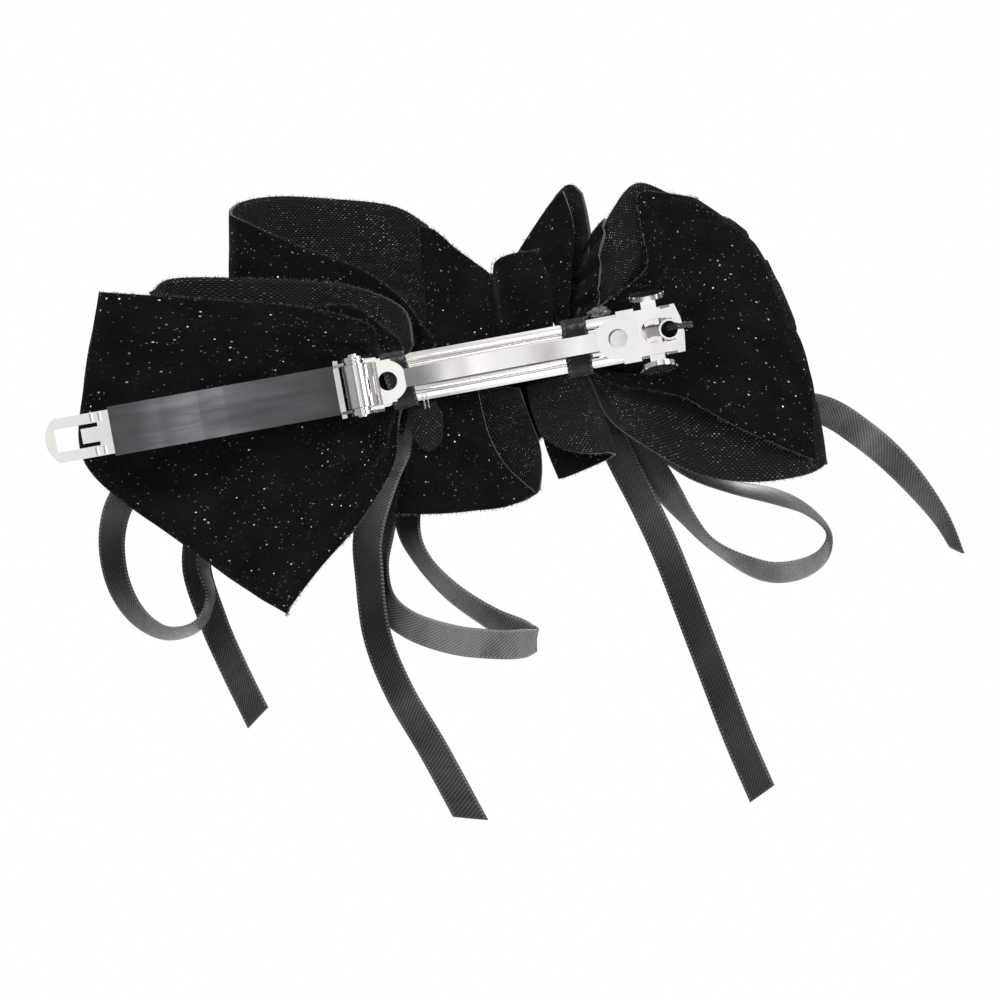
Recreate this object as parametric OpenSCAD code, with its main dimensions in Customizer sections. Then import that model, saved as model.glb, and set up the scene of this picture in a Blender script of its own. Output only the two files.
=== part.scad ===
// Velvet hair bow on a snap-shut barrette clip, seen as it is worn.
// +X runs along the clip from the hinge to the catch, +Z is up, and -Y points at the head.
// The origin is the middle of the clip, between the hair clamp's two jaws.

/* [Clip base] */
// Overall length of the base plate
base_len = 68; // [64:1:76]
// Width of the base plate over its two ribs
base_w = 9.8; // [9:0.2:12]
// Thickness of the base sheet
sheet_t = 0.8; // [0.6:0.1:1]
// How far the middle of the base bulges away from the head
base_rise = 2.5; // [1.5:0.5:3]
// Height of the two stiffening ribs
rib_h = 0.6; // [0.3:0.1:0.8]
// Diameter of the hole in the catch end
end_hole_d = 3.4; // [2:0.2:4]

/* [Tension strip] */
// Width of the bowed strip
strip_w = 3.7; // [3:0.1:4.4]
// Thickness of the bowed strip
strip_t = 0.4; // [0.3:0.1:0.6]
// How far the strip bows towards the hair
strip_rise = 1.2; // [0.8:0.2:2]
// Outer diameter of the ring at each end of the strip
ring_d = 8.4; // [7:0.2:9]
// Diameter of the hole in each ring
ring_hole_d = 3.8; // [2.4:0.2:4]

/* [Hinge] */
// Diameter of the hinge pin
pin_d = 1.6; // [1.2:0.1:1.8]
// Running clearance round the pin
pin_clear = 0.05; // [0.03:0.01:0.09]
// Angle that the arm is opened to
open_angle = 174; // [150:1:176]

/* [Arm] */
// Steel left beyond the arm's slot, at its tip
tip_land = 2; // [1.6:0.1:2.4]
// Width of the arm's steel
arm_w = 8.8; // [8:0.2:9.2]
// Thickness of the arm's steel
arm_t = 0.7; // [0.5:0.1:0.9]
// Bare steel between the rubber sleeve and the slot
sleeve_gap = 2.5; // [2:0.1:8]
// Wall of the rubber sleeve
sleeve_wall = 0.5; // [0.3:0.1:0.6]

/* [Catch] */
// Diameter of each squeeze button
button_d = 7.2; // [6:0.2:8]
// Thickness of each squeeze button
button_t = 1; // [0.8:0.1:1.2]
// Distance between the outer faces of the two buttons
button_span = 15.4; // [15:0.2:17]
// Lean of each button's face towards the head, in degrees
button_lean = 13; // [0:1:16]

/* [Velvet] */
// How far the left wing reaches out from the left gather
left_reach = 64; // [56:1:72]
// How far the right wing reaches out from the right gather
right_reach = 46; // [40:1:52]
// Height of the left wing's top corner
wing_rise = 28; // [24:1:34]
// Depth of the left wing's hanging point
wing_drop = 42; // [34:1:48]
// Height of the left middle loop's top corner
loop_rise = 27; // [23:1:30]
// Depth of the left middle loop's lower corner
loop_drop = 30; // [24:1:32]

/* [Satin] */
// Width of the satin ribbon
ribbon_w = 6; // [5:0.5:6]
// Thickness of a ribbon as it lies with its soft twist
ribbon_t = 0.8; // [0.4:0.1:0.8]

/* [Hidden] */
$fn = 48;
eps = 0.01;

// Frame of the clip
hinge_inset = 2.2;
hinge_x = hinge_inset - base_len / 2;
hinge_y = -3.4;
left_gather = -23.5;
right_gather = 12.7;
base_left = hinge_x - 1.9;
base_right = base_left + base_len;
base_ref = base_len / 2 - 2;
base_r = (base_ref * base_ref + base_rise * base_rise) / (2 * base_rise);
base_arc = 12;
notch_r = 6;
notch_depth = 0.7;
end_hole_x = base_right - 2.9;
key_slot_x = base_right - 6.3;
key_slot_z = -1.5;
key_slot_r = 0.45;
key_slot_len = 1.5;
function base_y(x) = base_rise - base_r + sqrt(base_r * base_r - x * x);

// Hinge: the strip's curl lies between the arm's cheeks, and the cheeks between the base's ears
curl_in = pin_d / 2 + 1.2;
curl_t = 0.5;
curl_out = curl_in + curl_t;
curl_half = base_w / 2 - 0.6;
gap = 0.15;
cheek_t = 0.6;
cheek_in = curl_half + gap;
ear_t = 0.6;
ear_in = cheek_in + cheek_t + gap;
ear_out = ear_in + ear_t;
ear_r = 2.2;
arm_off = curl_out + 0.4;
flange_x = 3;
flange_t = 1;

// Tension strip, flat rings at its ends
ring_y = -1.5;
flange_half = base_w / 2 + 0.4;
riser_inset = 9.4;
riser_x = base_right - riser_inset;
riser_half = base_w / 2 - 0.3;
left_ring_x = hinge_x + ring_d / 2 + 1.5;
right_ring_x = riser_x - ring_d / 2 - 0.1;
strip_mid = (left_ring_x + right_ring_x) / 2;
strip_half = (right_ring_x - left_ring_x) / 2 - ring_d / 2 + 0.4;
strip_r = (strip_half * strip_half + strip_rise * strip_rise) / (2 * strip_rise);

// Catch
riser_t = 0.6;
prong_y = hinge_y - 1.3;
prong_t = 0.6;
prong_len = 5.6;
prong_gap = 2.4;
prong_round = 1.3;
slot_half = 2.3;
slot_len = 8.6;
hook_half = 0.45;
hook_x = riser_x + 2.1;
hook_len = 1.4;
slot_to = hook_x - hinge_x + hook_len + 0.4;
slot_from = slot_to - slot_len;
arm_len = slot_to + tip_land;
hook_in = slot_half - 0.2 - 2 * hook_half;
button_x = riser_x + 3;
stem_y = prong_y + prong_t + 0.2;
stem_t = 0.7;
stem_w = 3;
button_groove = 0.4;
button_pitch = 1.2;

// Velvet roots inside the tie bands
root_half = base_w / 2 - 0.5;
band_half = base_w / 2 + 0.5;
root_depth = 2.7;
left_wing_layer = [base_y(left_gather) + sheet_t / 2 + 0.15, base_y(left_gather) + sheet_t / 2 + 1.5];
right_wing_layer = [base_y(right_gather) + sheet_t / 2 + 0.15, base_y(right_gather) + sheet_t / 2 + 1.5];
middle_layer = [4.4, 5.9];
upper_layer = [8, 10.2];
puff_layer = [9.2, 11.4];
band_t = 0.4;
band_back = 12.6;

// A flat outline in X and Z, given thickness from y0 to y1
module slab(y0, y1) {
    translate([0, y1, 0]) rotate([90, 0, 0]) linear_extrude(y1 - y0) children();
}

// A bent sheet whose outline lies in X and Y, from -half to half in Z
module bent(half) {
    translate([0, 0, -half]) linear_extrude(2 * half) children();
}

// Sheet curved along the clip: the children give its section as [radius, Z]
module arched() {
    translate([0, base_rise - base_r, 0]) rotate([0, 0, 90 - base_arc])
        rotate_extrude(angle = 2 * base_arc, $fn = 200) children();
}

module base_section() {
    translate([base_r - sheet_t / 2, -base_w / 2]) square([sheet_t, base_w]);
    for (side = [-1, 1]) intersection() {
        translate([base_r - sheet_t / 2 + 1.3 - rib_h, side * (base_w / 2 - 1.6)]) circle(1.3);
        translate([base_r - sheet_t / 2 - rib_h - 1, -base_w]) square([rib_h + 1 + eps, 2 * base_w]);
    }
}

module base_outline() {
    difference() {
        polygon([
            [base_left, -base_w / 2], [base_right - 0.5, -base_w / 2], [base_right, -1],
            [base_right - 0.3, 2], [base_right - 1.1, base_w / 2], [base_left, base_w / 2]
        ]);
        for (x = [left_gather, right_gather], side = [-1, 1])
            translate([x, side * (base_w / 2 + notch_r - notch_depth)]) circle(notch_r);
        translate([end_hole_x, 0]) circle(d = end_hole_d);
        hull() for (side = [-1, 1]) translate([key_slot_x + side * key_slot_len / 2, key_slot_z]) circle(key_slot_r);
        translate([left_ring_x, 0]) circle(d = ring_hole_d);
    }
}

module base_plate() {
    color("silver") {
        difference() {
            intersection() {
                arched() base_section();
                slab(-6, 8) base_outline();
            }
            // The ribs stop short of both ends
            for (x = [base_left - 1, right_ring_x + 3]) translate([x, -6, -base_w])
                cube([x < 0 ? 10 : 14, 6 + base_y(base_ref) - sheet_t / 2 - 0.05, 2 * base_w]);
        }
        for (side = [-1, 1]) ear(side);
        translate([end_hole_x, base_y(end_hole_x) - sheet_t / 2 + 0.1, 0]) rotate([90, 0, 0])
            difference() {
                cylinder(h = 0.4, d = end_hole_d + 0.8);
                translate([0, 0, -1]) cylinder(h = 3, d = end_hole_d);
            }
    }
}

// One of the two ears bent up from the base, with its hole for the pin
module ear(side) {
    foot_y = base_y(hinge_x) + sheet_t / 2;
    translate([0, 0, side > 0 ? ear_in : -ear_out]) difference() {
        linear_extrude(ear_t) union() {
            translate([hinge_x, hinge_y]) circle(ear_r);
            polygon([
                [hinge_x - ear_r, hinge_y], [hinge_x + ear_r, hinge_y],
                [hinge_x + 4.4, foot_y - 0.9], [hinge_x + 4.4, foot_y], [base_left, foot_y]
            ]);
        }
        translate([hinge_x, hinge_y, -1]) cylinder(h = 3, d = pin_d);
    }
    // The bend that joins the ear to the plate
    translate([base_left, foot_y - sheet_t, side > 0 ? base_w / 2 - 0.6 : -ear_out])
        cube([hinge_x + 4.4 - base_left, sheet_t, ear_out - base_w / 2 + 0.6]);
}

module hinge_pin() {
    color("gainsboro") translate([hinge_x, hinge_y, 0]) {
        translate([0, 0, -ear_out - 0.3]) cylinder(h = 2 * ear_out + 0.6, d = pin_d);
        translate([0, 0, ear_out]) cylinder(h = 0.6, d = pin_d + 0.6);
        translate([0, 0, -ear_out - 0.4]) cylinder(h = 0.4, d = pin_d + 0.6);
    }
}

// The arm is drawn closed, from the pin along +X, and turned open about the pin
module opened() {
    translate([hinge_x, hinge_y, 0]) rotate([0, 0, -open_angle]) children();
}

module arm_outline() {
    difference() {
        union() {
            translate([flange_x, -arm_w / 2]) square([arm_len - flange_x - 4, arm_w]);
            intersection() {
                translate([arm_len - arm_w * 0.62, 0]) circle(arm_w * 0.62);
                translate([arm_len - 8, -arm_w / 2]) square([9, arm_w]);
            }
        }
        translate([slot_from, -slot_half]) square([slot_to - slot_from, 2 * slot_half]);
    }
}

module clasp_arm() {
    color("silver") opened() {
        slab(-arm_off - arm_t, -arm_off) arm_outline();
        // Crossways flange at the root, and the two crimps before the tip
        translate([flange_x, -arm_off - arm_t, -ear_out]) cube([flange_t, 1.5, 2 * ear_out]);
        for (x = [slot_from - 0.7, slot_from + 0.9], side = [-1, 1])
            translate([x, -arm_off - 0.1, side > 0 ? slot_half + 0.3 : -arm_w / 2 + 0.2])
                cylinder(h = arm_w / 2 - slot_half - 0.5, r = 0.35);
        // Sprung tongue, rising in a step from the root side of the slot
        translate([slot_from - 0.5, -arm_off - arm_t, -1.5]) cube([3.9, 0.4, 3]);
        for (side = [-1, 1]) cheek(side);
    }
}

// One of the arm's two cheeks, which turn on the pin
module cheek(side) {
    translate([0, 0, side > 0 ? cheek_in : -cheek_in - cheek_t]) difference() {
        linear_extrude(cheek_t) union() {
            circle(ear_r - 0.2);
            polygon([
                [-0.6, -ear_r + 0.35], [flange_x + 0.3, -arm_off - arm_t], [flange_x + 0.9, -arm_off - arm_t],
                [flange_x + 0.9, -arm_off + 0.8], [1.2, 1.2]
            ]);
        }
        translate([0, 0, -1]) cylinder(h = 3, d = pin_d + 2 * pin_clear);
    }
}

module arm_sleeve() {
    sleeve_from = flange_x + flange_t + 0.1;
    sleeve_len = slot_from - sleeve_gap - sleeve_from;
    color("dimgray") opened() difference() {
        slab(-arm_off - arm_t - sleeve_wall, -arm_off + sleeve_wall)
            translate([sleeve_from, -arm_w / 2 - sleeve_wall])
                square([sleeve_len, arm_w + 2 * sleeve_wall]);
        slab(-arm_off - arm_t, -arm_off)
            translate([sleeve_from - 1, -arm_w / 2]) square([sleeve_len + 2, arm_w]);
    }
}

module tension_strip() {
    color("whitesmoke") {
        // Bowed length between the rings
        translate([strip_mid, ring_y - strip_rise + strip_r, 0])
            rotate([0, 0, 270 - asin(strip_half / strip_r)])
            rotate_extrude(angle = 2 * asin(strip_half / strip_r), $fn = 200)
            translate([strip_r - strip_t / 2, -strip_w / 2]) square([strip_t, strip_w]);
        slab(ring_y - strip_t / 2, ring_y + strip_t / 2) difference() {
            union() {
                for (x = [left_ring_x, right_ring_x]) translate([x, 0]) circle(d = ring_d);
                translate([hinge_x + 4, -curl_half]) square([3.2, 2 * curl_half]);
                translate([right_ring_x + 0.7, -flange_half])
                    square([riser_x - right_ring_x - 0.7, 2 * flange_half]);
            }
            translate([left_ring_x + 0.3, 0]) circle(d = ring_hole_d);
            translate([right_ring_x + 0.3, 0]) circle(d = ring_hole_d);
        }
        // End curled over the pin, with a concave run down to the ring
        bent(curl_half) translate([hinge_x, hinge_y]) {
            difference() {
                circle(curl_out);
                circle(curl_in);
                polygon([[-9, 0.6], [0, 0.3], [curl_in * 0.8, 1.2], [9, 4], [9, 9], [-9, 9]]);
            }
            difference() {
                polygon([
                    [curl_in + 0.1, -0.4], [4.3, -1 - hinge_y + ring_y + 0.8],
                    [4.3, ring_y - hinge_y + strip_t / 2], [3.4, ring_y - hinge_y + strip_t / 2],
                    [curl_in - 0.05, 0.9]
                ]);
                translate([4.3 + 0.5, -0.4]) circle(1.9);
            }
        }
    }
}

module catch_frame() {
    color("silver") {
        foot_y = base_y(riser_x) - sheet_t / 2;
        // Upright wall folded from the base, with the two prongs of the U on its top edge
        translate([riser_x, prong_y, -riser_half]) cube([riser_t, foot_y - prong_y, 2 * riser_half]);
        slab(prong_y, prong_y + prong_t) difference() {
            union() {
                translate([riser_x, -riser_half]) square([prong_len - 1.2, 2 * riser_half]);
                for (side = [-1, 1])
                    translate([riser_x + prong_len - 1.4, side * (riser_half - prong_round)]) circle(prong_round);
            }
            translate([riser_x + 3, 0]) circle(prong_gap);
            translate([riser_x + 3, -prong_gap]) square([4, 2 * prong_gap]);
        }
    }
}

// A squeeze button: ribbed disc, stem under the prongs, and the hook that holds the arm's slot
module squeeze_button(side) {
    outer = button_span / 2;
    color("gainsboro") mirror([0, 0, side > 0 ? 0 : 1]) {
        translate([button_x, stem_y + stem_t / 2, outer]) rotate([button_lean, 0, 0]) difference() {
            translate([0, 0, -button_t]) cylinder(h = button_t, d = button_d);
            for (i = [-2:2]) translate([-button_d, i * button_pitch - button_groove / 2, -0.25])
                cube([2 * button_d, button_groove, 1]);
        }
        translate([button_x - stem_w / 2, stem_y, hook_in]) cube([stem_w, stem_t, outer - button_t / 2 - hook_in]);
        translate([hook_x, hinge_y - arm_off - arm_t - 0.5, hook_in])
            cube([hook_len, stem_y + stem_t - hinge_y + arm_off + arm_t + 0.5, 2 * hook_half]);
    }
}

// Satin wrapped round the base and the gathered velvet
module tie_band(x) {
    back = min(base_y(x - ribbon_w / 2), base_y(x + ribbon_w / 2)) - sheet_t / 2 - rib_h - 0.1;
    half = band_half;
    color("#26262a") translate([x - ribbon_w / 2, 0, 0]) difference() {
        translate([0, back - band_t, -half - band_t]) cube([ribbon_w, band_back - back + 2 * band_t, 2 * (half + band_t)]);
        translate([-1, back, -half]) cube([ribbon_w + 2, band_back - back, 2 * half]);
    }
}

module knot(x) {
    color("#26262a") translate([x, band_back + band_t + 1.9, -1]) hull() {
        for (dx = [-1.8, 1.8], dz = [-2, 2]) translate([dx, 0, dz]) sphere(1.9, $fn = 24);
    }
}

// Ribbons: routes as [x, y, z, turn], the turn in degrees about the ribbon's own length
left_loop_route = [
    [-27.6, 15.2, 1, 0], [-42, 16, -3, 0], [-60, 16, -7, 0], [-75, 16, -9, 0], [-83.6, 16, -12.4, 10],
    [-87.8, 16, -20, 20], [-88.4, 16, -29.5, 30], [-85.6, 16, -37.4, 45], [-80.2, 16, -42, 60],
    [-73.6, 16.2, -41.4, 72], [-70, 16.4, -36, 78], [-70.2, 16.4, -29, 70], [-65, 17, -21, 30],
    [-52, 17.2, -13, 0], [-38, 17.2, -6, 0], [-28, 17, -1.6, 0]
];
left_tail_route = [
    [-27, 18.4, -2, 0], [-42, 18.8, -7, 0], [-58, 19, -13, 0], [-68, 19.4, -20, 0], [-72.2, 20, -29, 0],
    [-71, 20.4, -41, 10], [-68.7, 20, -51, 15], [-65.7, 19.4, -61.6, 15]
];
middle_loop_route = [
    [-22.5, 15.4, -5, 0], [-24, 14.6, -17, 0], [-27.5, 13.8, -28, 30], [-26.2, 12.4, -36, 55],
    [-21.2, 11.2, -44, 50], [-14, 10.2, -51, 40], [-8.2, 9.6, -55.2, 20], [-5.9, 8.2, -56.6, 88],
    [-8.6, 6.9, -56.8, 170], [-14, 6.6, -56, 175], [-22.4, 6.6, -53.5, 175], [-30.6, 8.6, -49, 160],
    [-35.2, 12, -43.4, 155], [-35.8, 13.8, -36, 170], [-33, 15.4, -28, 180], [-28.5, 16.4, -16, 180],
    [-24.6, 16.8, -5.4, 180]
];
middle_tail_route = [
    [-23, 6.2, -6.2, 0], [-25, 6.6, -11, 0], [-30.5, 7, -19, 0], [-35.5, 7.6, -29, 0], [-37, 8, -38, 15],
    [-37.6, 8, -50, 15], [-35.2, 8, -62, 5], [-30.5, 8, -75, 0], [-25.1, 8, -91.7, 0]
];
right_tail_route = [
    [13.5, 15.4, -5, 0], [15.5, 15.6, -14, 0], [18, 15.8, -24, 0], [21, 16, -34, 0], [24, 16, -46, 0],
    [27.5, 16, -65, 0], [30.8, 16, -83, 0], [33.7, 16, -95.9, 0]
];
right_loop_route = [
    [15.8, 17, -4, 0], [20, 17.2, -15, 0], [24.5, 17.4, -28, 15], [29, 17.4, -38, 60],
    [33.6, 17.4, -45, 72], [42, 17.4, -51.4, 48], [49, 17.4, -52.8, 44], [55, 17.4, -51, 58],
    [57.4, 17.8, -46.4, 76], [54, 18.4, -41, 70], [48, 18.8, -37, 58], [39, 18.8, -33, 62],
    [31, 18.8, -27, 40], [23.5, 18.6, -16, 0], [17, 18.2, -3, 0]
];
far_tail_route = [
    [16, 19.6, -2, 0], [24, 20, -12, 0], [36, 19.6, -17, 0], [48, 18.6, -18, 0], [60, 17.6, -21, 0],
    [68, 17, -28, 12], [74.4, 17, -36.4, 34], [80, 17, -47, 54], [82.6, 17, -55.6, 68]
];
rings_per_span = 3;

// Point on a smooth curve through four neighbours, t from 0 to 1 between the middle two
function curve(a, b, c, d, t) =
    0.5 * (2 * b + (c - a) * t + (2 * a - 5 * b + 4 * c - d) * t * t + (3 * b - a - 3 * c + d) * t * t * t);
function route_at(r, i, t) =
    curve(r[max(i - 1, 0)], r[i], r[i + 1], r[min(i + 2, len(r) - 1)], t);
function route_points(r) = concat(
    [for (i = [0 : len(r) - 2], k = [0 : rings_per_span - 1]) route_at(r, i, k / rings_per_span)],
    [r[len(r) - 1]]);
function place(p) = [p[0], p[1], p[2]];
function unit(v) = v / norm(v);

// One ring of eight points, flat across the ribbon
function ring(p, along, turn) =
    let (across = unit(cross([0, 1, 0], along)), out = cross(along, across),
         wide = cos(turn) * across + sin(turn) * out, thick = cross(along, wide))
    [for (a = [0 : 45 : 315]) p + ribbon_w / 2 * cos(a) * wide + ribbon_t / 2 * sin(a) * thick];

module ribbon(route) {
    pts = route_points(route);
    n = len(pts);
    rings = [for (i = [0 : n - 1])
        ring(place(pts[i]), unit(place(pts[min(i + 1, n - 1)]) - place(pts[max(i - 1, 0)])), pts[i][3])];
    corners = [for (r = rings, p = r) p];
    sides = [for (i = [0 : n - 2], k = [0 : 7], half = [0, 1]) half == 0
        ? [8 * i + k, 8 * i + (k + 1) % 8, 8 * i + 8 + k]
        : [8 * i + (k + 1) % 8, 8 * i + 8 + (k + 1) % 8, 8 * i + 8 + k]];
    ends = [[for (k = [7 : -1 : 0]) k], [for (k = [0 : 7]) 8 * (n - 1) + k]];
    color("#2c2c30") polyhedron(points = corners, faces = concat(sides, ends));
}

// A velvet lobe: a block of cloth held in a tie band, spreading to rounded corners [x, z, r, y0, y1]
module lobe(from_x, to_x, layer, low, high, corners) {
    color("#121214") hull() {
        translate([from_x, layer[0], low]) cube([to_x - from_x, layer[1] - layer[0], high - low]);
        for (c = corners) translate([c[0], c[4], c[1]]) rotate([90, 0, 0]) cylinder(h = c[4] - c[3], r = c[2], $fn = 24);
    }
}

left_end = left_gather - left_reach;
right_end = right_gather + right_reach;
left_root = [left_gather - root_depth, left_gather - 0.1];
right_root = [right_gather + 0.1, right_gather + root_depth];

module left_velvet_wing()
    lobe(left_root[0], left_root[1], left_wing_layer, -root_half, root_half, [
        [left_end + 9.5, wing_rise - 2, 2, 2.8, 7], [left_end + 2, -7, 2, 2.8, 7],
        [left_end + 4, -11, 2, 2.8, 7], [left_end + 33, 2 - wing_drop, 2, 2.8, 7],
        [left_gather - 8, wing_rise - 15, 3, 2.6, 4.2]
    ]);

module left_velvet_middle_loop()
    lobe(left_root[0], left_root[1], middle_layer, -2, 3.2, [
        [left_end + 20, loop_rise, 2, 9, 14], [left_end + 30, -16, 3, 9, 14],
        [left_end + 43, -loop_drop, 2, 9.2, 14], [left_gather - 3, 12, 2, 5.6, 7.4]
    ]);

module left_velvet_upper_loop()
    lobe(left_root[0], left_root[1], upper_layer, 1.2, root_half, [
        [-54, 30, 3, 16, 24], [-49, 38.5, 3, 16, 26], [-30, 37, 3, 18, 29], [-16, 31, 3, 18, 27],
        [-46, 12, 3, 18, 27]
    ]);

module centre_velvet_crest()
    lobe(right_gather - root_depth, right_gather - 0.1, middle_layer, -1, root_half, [
        [17.6, 31.6, 1.6, 10, 14], [11.5, 25, 2, 10, 14], [18, 23.6, 1.5, 9.6, 13.4]
    ]);

module centre_velvet_ruffle()
    lobe(left_gather + 1.6, right_gather - root_depth - 0.3, [4.8, 6.6], -1, root_half, [
        [-0.5, 18, 2, 6, 10.2], [7.5, 18, 2, 6, 9], [-12, 12, 3, 5.6, 9]
    ]);

module centre_velvet_puff()
    lobe(left_gather + 1.6, right_gather - 1.6, puff_layer, -root_half, root_half, [
        [-10.5, 13, 4, 14, 22], [-0.5, 13, 4, 14, 22], [-10.5, -15, 4, 14, 22], [-0.5, -15, 4, 14, 22],
        [-5.5, 0, 8, 17, 26]
    ]);

module centre_velvet_panel()
    lobe(left_gather + ribbon_w / 2 + 1.2, 0, [3.6, 5.2], -root_half - 2, -root_half - 0.4, [
        [-26.5, -25, 1.5, 9.6, 12.2], [-12, -27.6, 1.5, 9.2, 12.2],
        [-2, -26.5, 1.5, 9.2, 12.2], [0.5, -18, 1.5, 9.2, 12.2]
    ]);

module centre_velvet_flap()
    lobe(2.6, right_gather - 0.1, [3.8, 5.2], -root_half, -1, [
        [4.6, -17, 1.5, 6.4, 8.6], [5.8, -24, 1.5, 6.4, 8.6], [13.6, -22, 1.5, 6.4, 8.6]
    ]);

module right_velvet_wing()
    lobe(right_root[0], right_root[1], right_wing_layer, -root_half, root_half, [
        [22.5, 20.5, 2, 3.6, 7.6], [31, 29.5, 2, 3.6, 8.4], [right_end - 13.5, 21.5, 2, 3.6, 10],
        [right_end - 4, 1, 3, 3.6, 11], [right_end - 2, -21, 3, 3.6, 12],
        [right_end - 4, -31.5, 2, 3.6, 12], [23.4, -22.5, 2, 3.6, 9]
    ]);

module right_velvet_upper_loop()
    lobe(right_root[0], right_root[1], [8.6, 10.8], 1.6, root_half, [
        [26, 22, 3, 15, 26], [right_end - 20, 20, 3, 15.4, 26],
        [right_end - 12, 8, 3, 15.4, 26], [30, 2, 3, 16, 24]
    ]);

// Black thread through the end hole and over the end of the base
module end_thread() {
    color("#161618") for (dz = [-0.5, 0.5]) translate([0, 0, dz + 0.3]) {
        y_mid = base_y(base_right - 1.6);
        bent(0.35) translate([base_right - 0.9, y_mid]) difference() {
            circle(2.6);
            circle(2);
        }
    }
}

module nylon_stitches() {
    color("#d8d8dc") for (x = [-19.4, -18.6]) translate([x, base_y(x) - 1.6, -base_w / 2 - 0.6])
        rotate([90, 0, 90]) rotate_extrude($fn = 24) translate([1.2, 0]) circle(0.12, $fn = 16);
}

// Blobs of glue: place along the clip, offset from the plate in Y and from its edge in Z, radius
glue_spots = [[-20.2, -0.2, 0.7, 1.3], [-9.1, 0.3, 1.3, 1.5], [6.4, 0.2, 0.7, 1.4], [17.8, -0.1, 0.9, 1.3]];

module glue_beads() {
    color("#1a1a1e") for (b = glue_spots)
        translate([b[0], base_y(b[0]) + b[1], base_w / 2 + b[2]]) sphere(b[3], $fn = 32);
}

base_plate();
hinge_pin();
clasp_arm();
arm_sleeve();
tension_strip();
catch_frame();
squeeze_button(1);  // upper_squeeze_button
squeeze_button(-1);  // lower_squeeze_button
tie_band(left_gather);  // left_tie_band
tie_band(right_gather);  // right_tie_band
knot(left_gather);  // left_knot
knot(right_gather);  // right_knot
ribbon(left_loop_route);  // left_satin_loop
ribbon(left_tail_route);  // left_satin_tail
ribbon(middle_loop_route);  // middle_satin_loop
ribbon(middle_tail_route);  // middle_satin_tail
ribbon(right_tail_route);  // right_satin_tail
ribbon(right_loop_route);  // right_satin_loop
ribbon(far_tail_route);  // far_right_satin_tail
left_velvet_wing();
left_velvet_middle_loop();
left_velvet_upper_loop();
centre_velvet_crest();
centre_velvet_ruffle();
centre_velvet_puff();
centre_velvet_panel();
centre_velvet_flap();
right_velvet_wing();
right_velvet_upper_loop();
end_thread();
nylon_stitches();
glue_beads();
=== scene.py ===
# %% [markdown]
# # A velvet hair bow on a snap barrette
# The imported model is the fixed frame: it brings every hard piece at its real size and place.
# This lesson dresses it. The metal and the rubber keep their shapes and get a finish, and the
# cloth, which a solid modeller can only block out, is built here as thin folded sheets.

# %% Load the frame
import bpy
import bmesh
import math
import random
from mathutils import Matrix, Quaternion, Vector, noise


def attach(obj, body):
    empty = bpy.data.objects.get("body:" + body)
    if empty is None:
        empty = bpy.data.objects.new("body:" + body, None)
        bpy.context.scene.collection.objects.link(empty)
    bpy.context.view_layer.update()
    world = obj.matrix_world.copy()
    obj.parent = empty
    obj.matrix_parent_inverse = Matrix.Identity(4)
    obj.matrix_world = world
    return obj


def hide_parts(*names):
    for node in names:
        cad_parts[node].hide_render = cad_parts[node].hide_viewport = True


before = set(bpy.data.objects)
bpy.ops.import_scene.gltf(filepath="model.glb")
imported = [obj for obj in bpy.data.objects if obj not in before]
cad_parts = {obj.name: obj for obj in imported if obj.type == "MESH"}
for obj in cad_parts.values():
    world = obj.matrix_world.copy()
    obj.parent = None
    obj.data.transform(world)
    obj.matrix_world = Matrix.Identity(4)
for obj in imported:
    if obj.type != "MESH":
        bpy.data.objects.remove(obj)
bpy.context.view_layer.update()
MM = 0.001
chance = random.Random(7)

# %% [markdown]
# ## Camera
# The bow is seen from its back, where the clip is, from 60 cm, with a long lens so that near and
# far folds keep their proportions. The camera is rolled by ten degrees, because the clip is held
# with its catch end a little high.

# %% Place the camera
ROLL = math.radians(10.5)
eye = bpy.data.cameras.new("eye")
eye.lens = 108
eye.sensor_width = 36
camera = bpy.data.objects.new("eye", eye)
bpy.context.collection.objects.link(camera)
camera.location = Vector((-8.1, -600, -27.4)) * MM
level = Vector((0, 1, 0)).to_track_quat("-Z", "Y")
camera.rotation_mode = "QUATERNION"
camera.rotation_quaternion = Quaternion((0, 1, 0), ROLL) @ level
bpy.context.scene.camera = camera
print("camera looks along +Y, its right is", (camera.rotation_quaternion @ Vector((1, 0, 0)))[:])

# %% [markdown]
# ## Smooth lines through a few points
# Ribbons and cloth edges are drawn with a few listed points. A Catmull-Rom line runs
# smoothly through every one of them, so the points can be read straight off the design.

# %% Lines through points
def smooth(points, count):
    last = len(points) - 1
    line = []
    for i in range(count):
        t = i / (count - 1) * last
        k = min(int(t), last - 1)
        f = t - k
        a, b, c, d = (points[max(0, min(last, k + j))] for j in (-1, 0, 1, 2))
        line.append(tuple(
            0.5 * (2 * q + (r - p) * f + (2 * p - 5 * q + 4 * r - s) * f * f
                   + (3 * q - p - 3 * r + s) * f ** 3)
            for p, q, r, s in zip(a, b, c, d)))
    return line


def even(line, count):
    """The same line with its points an equal distance apart."""
    far = [0.0]
    for a, b in zip(line, line[1:]):
        far.append(far[-1] + math.dist(a[:3], b[:3]))
    spread = []
    k = 0
    for i in range(count):
        want = far[-1] * i / (count - 1)
        while k < len(line) - 2 and far[k + 1] < want:
            k += 1
        f = (want - far[k]) / max(far[k + 1] - far[k], 1e-9)
        spread.append(tuple(p + (q - p) * f for p, q in zip(line[k], line[k + 1])))
    return spread, far[-1]


def ease(t):
    t = max(0.0, min(1.0, t))
    return t * t * (3 - 2 * t)


# %% [markdown]
# ## Satin ribbons
# Two bows of 6 mm satin ribbon are tied over the velvet. Each loop and each tail is a flat strip
# that follows its own line and twists as it goes. A strip could be a curve with a flat profile,
# but a grid whose rows are set across the line keeps clean edges, holds the twist exactly and
# carries a map in real millimetres, which the weave needs.

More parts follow.
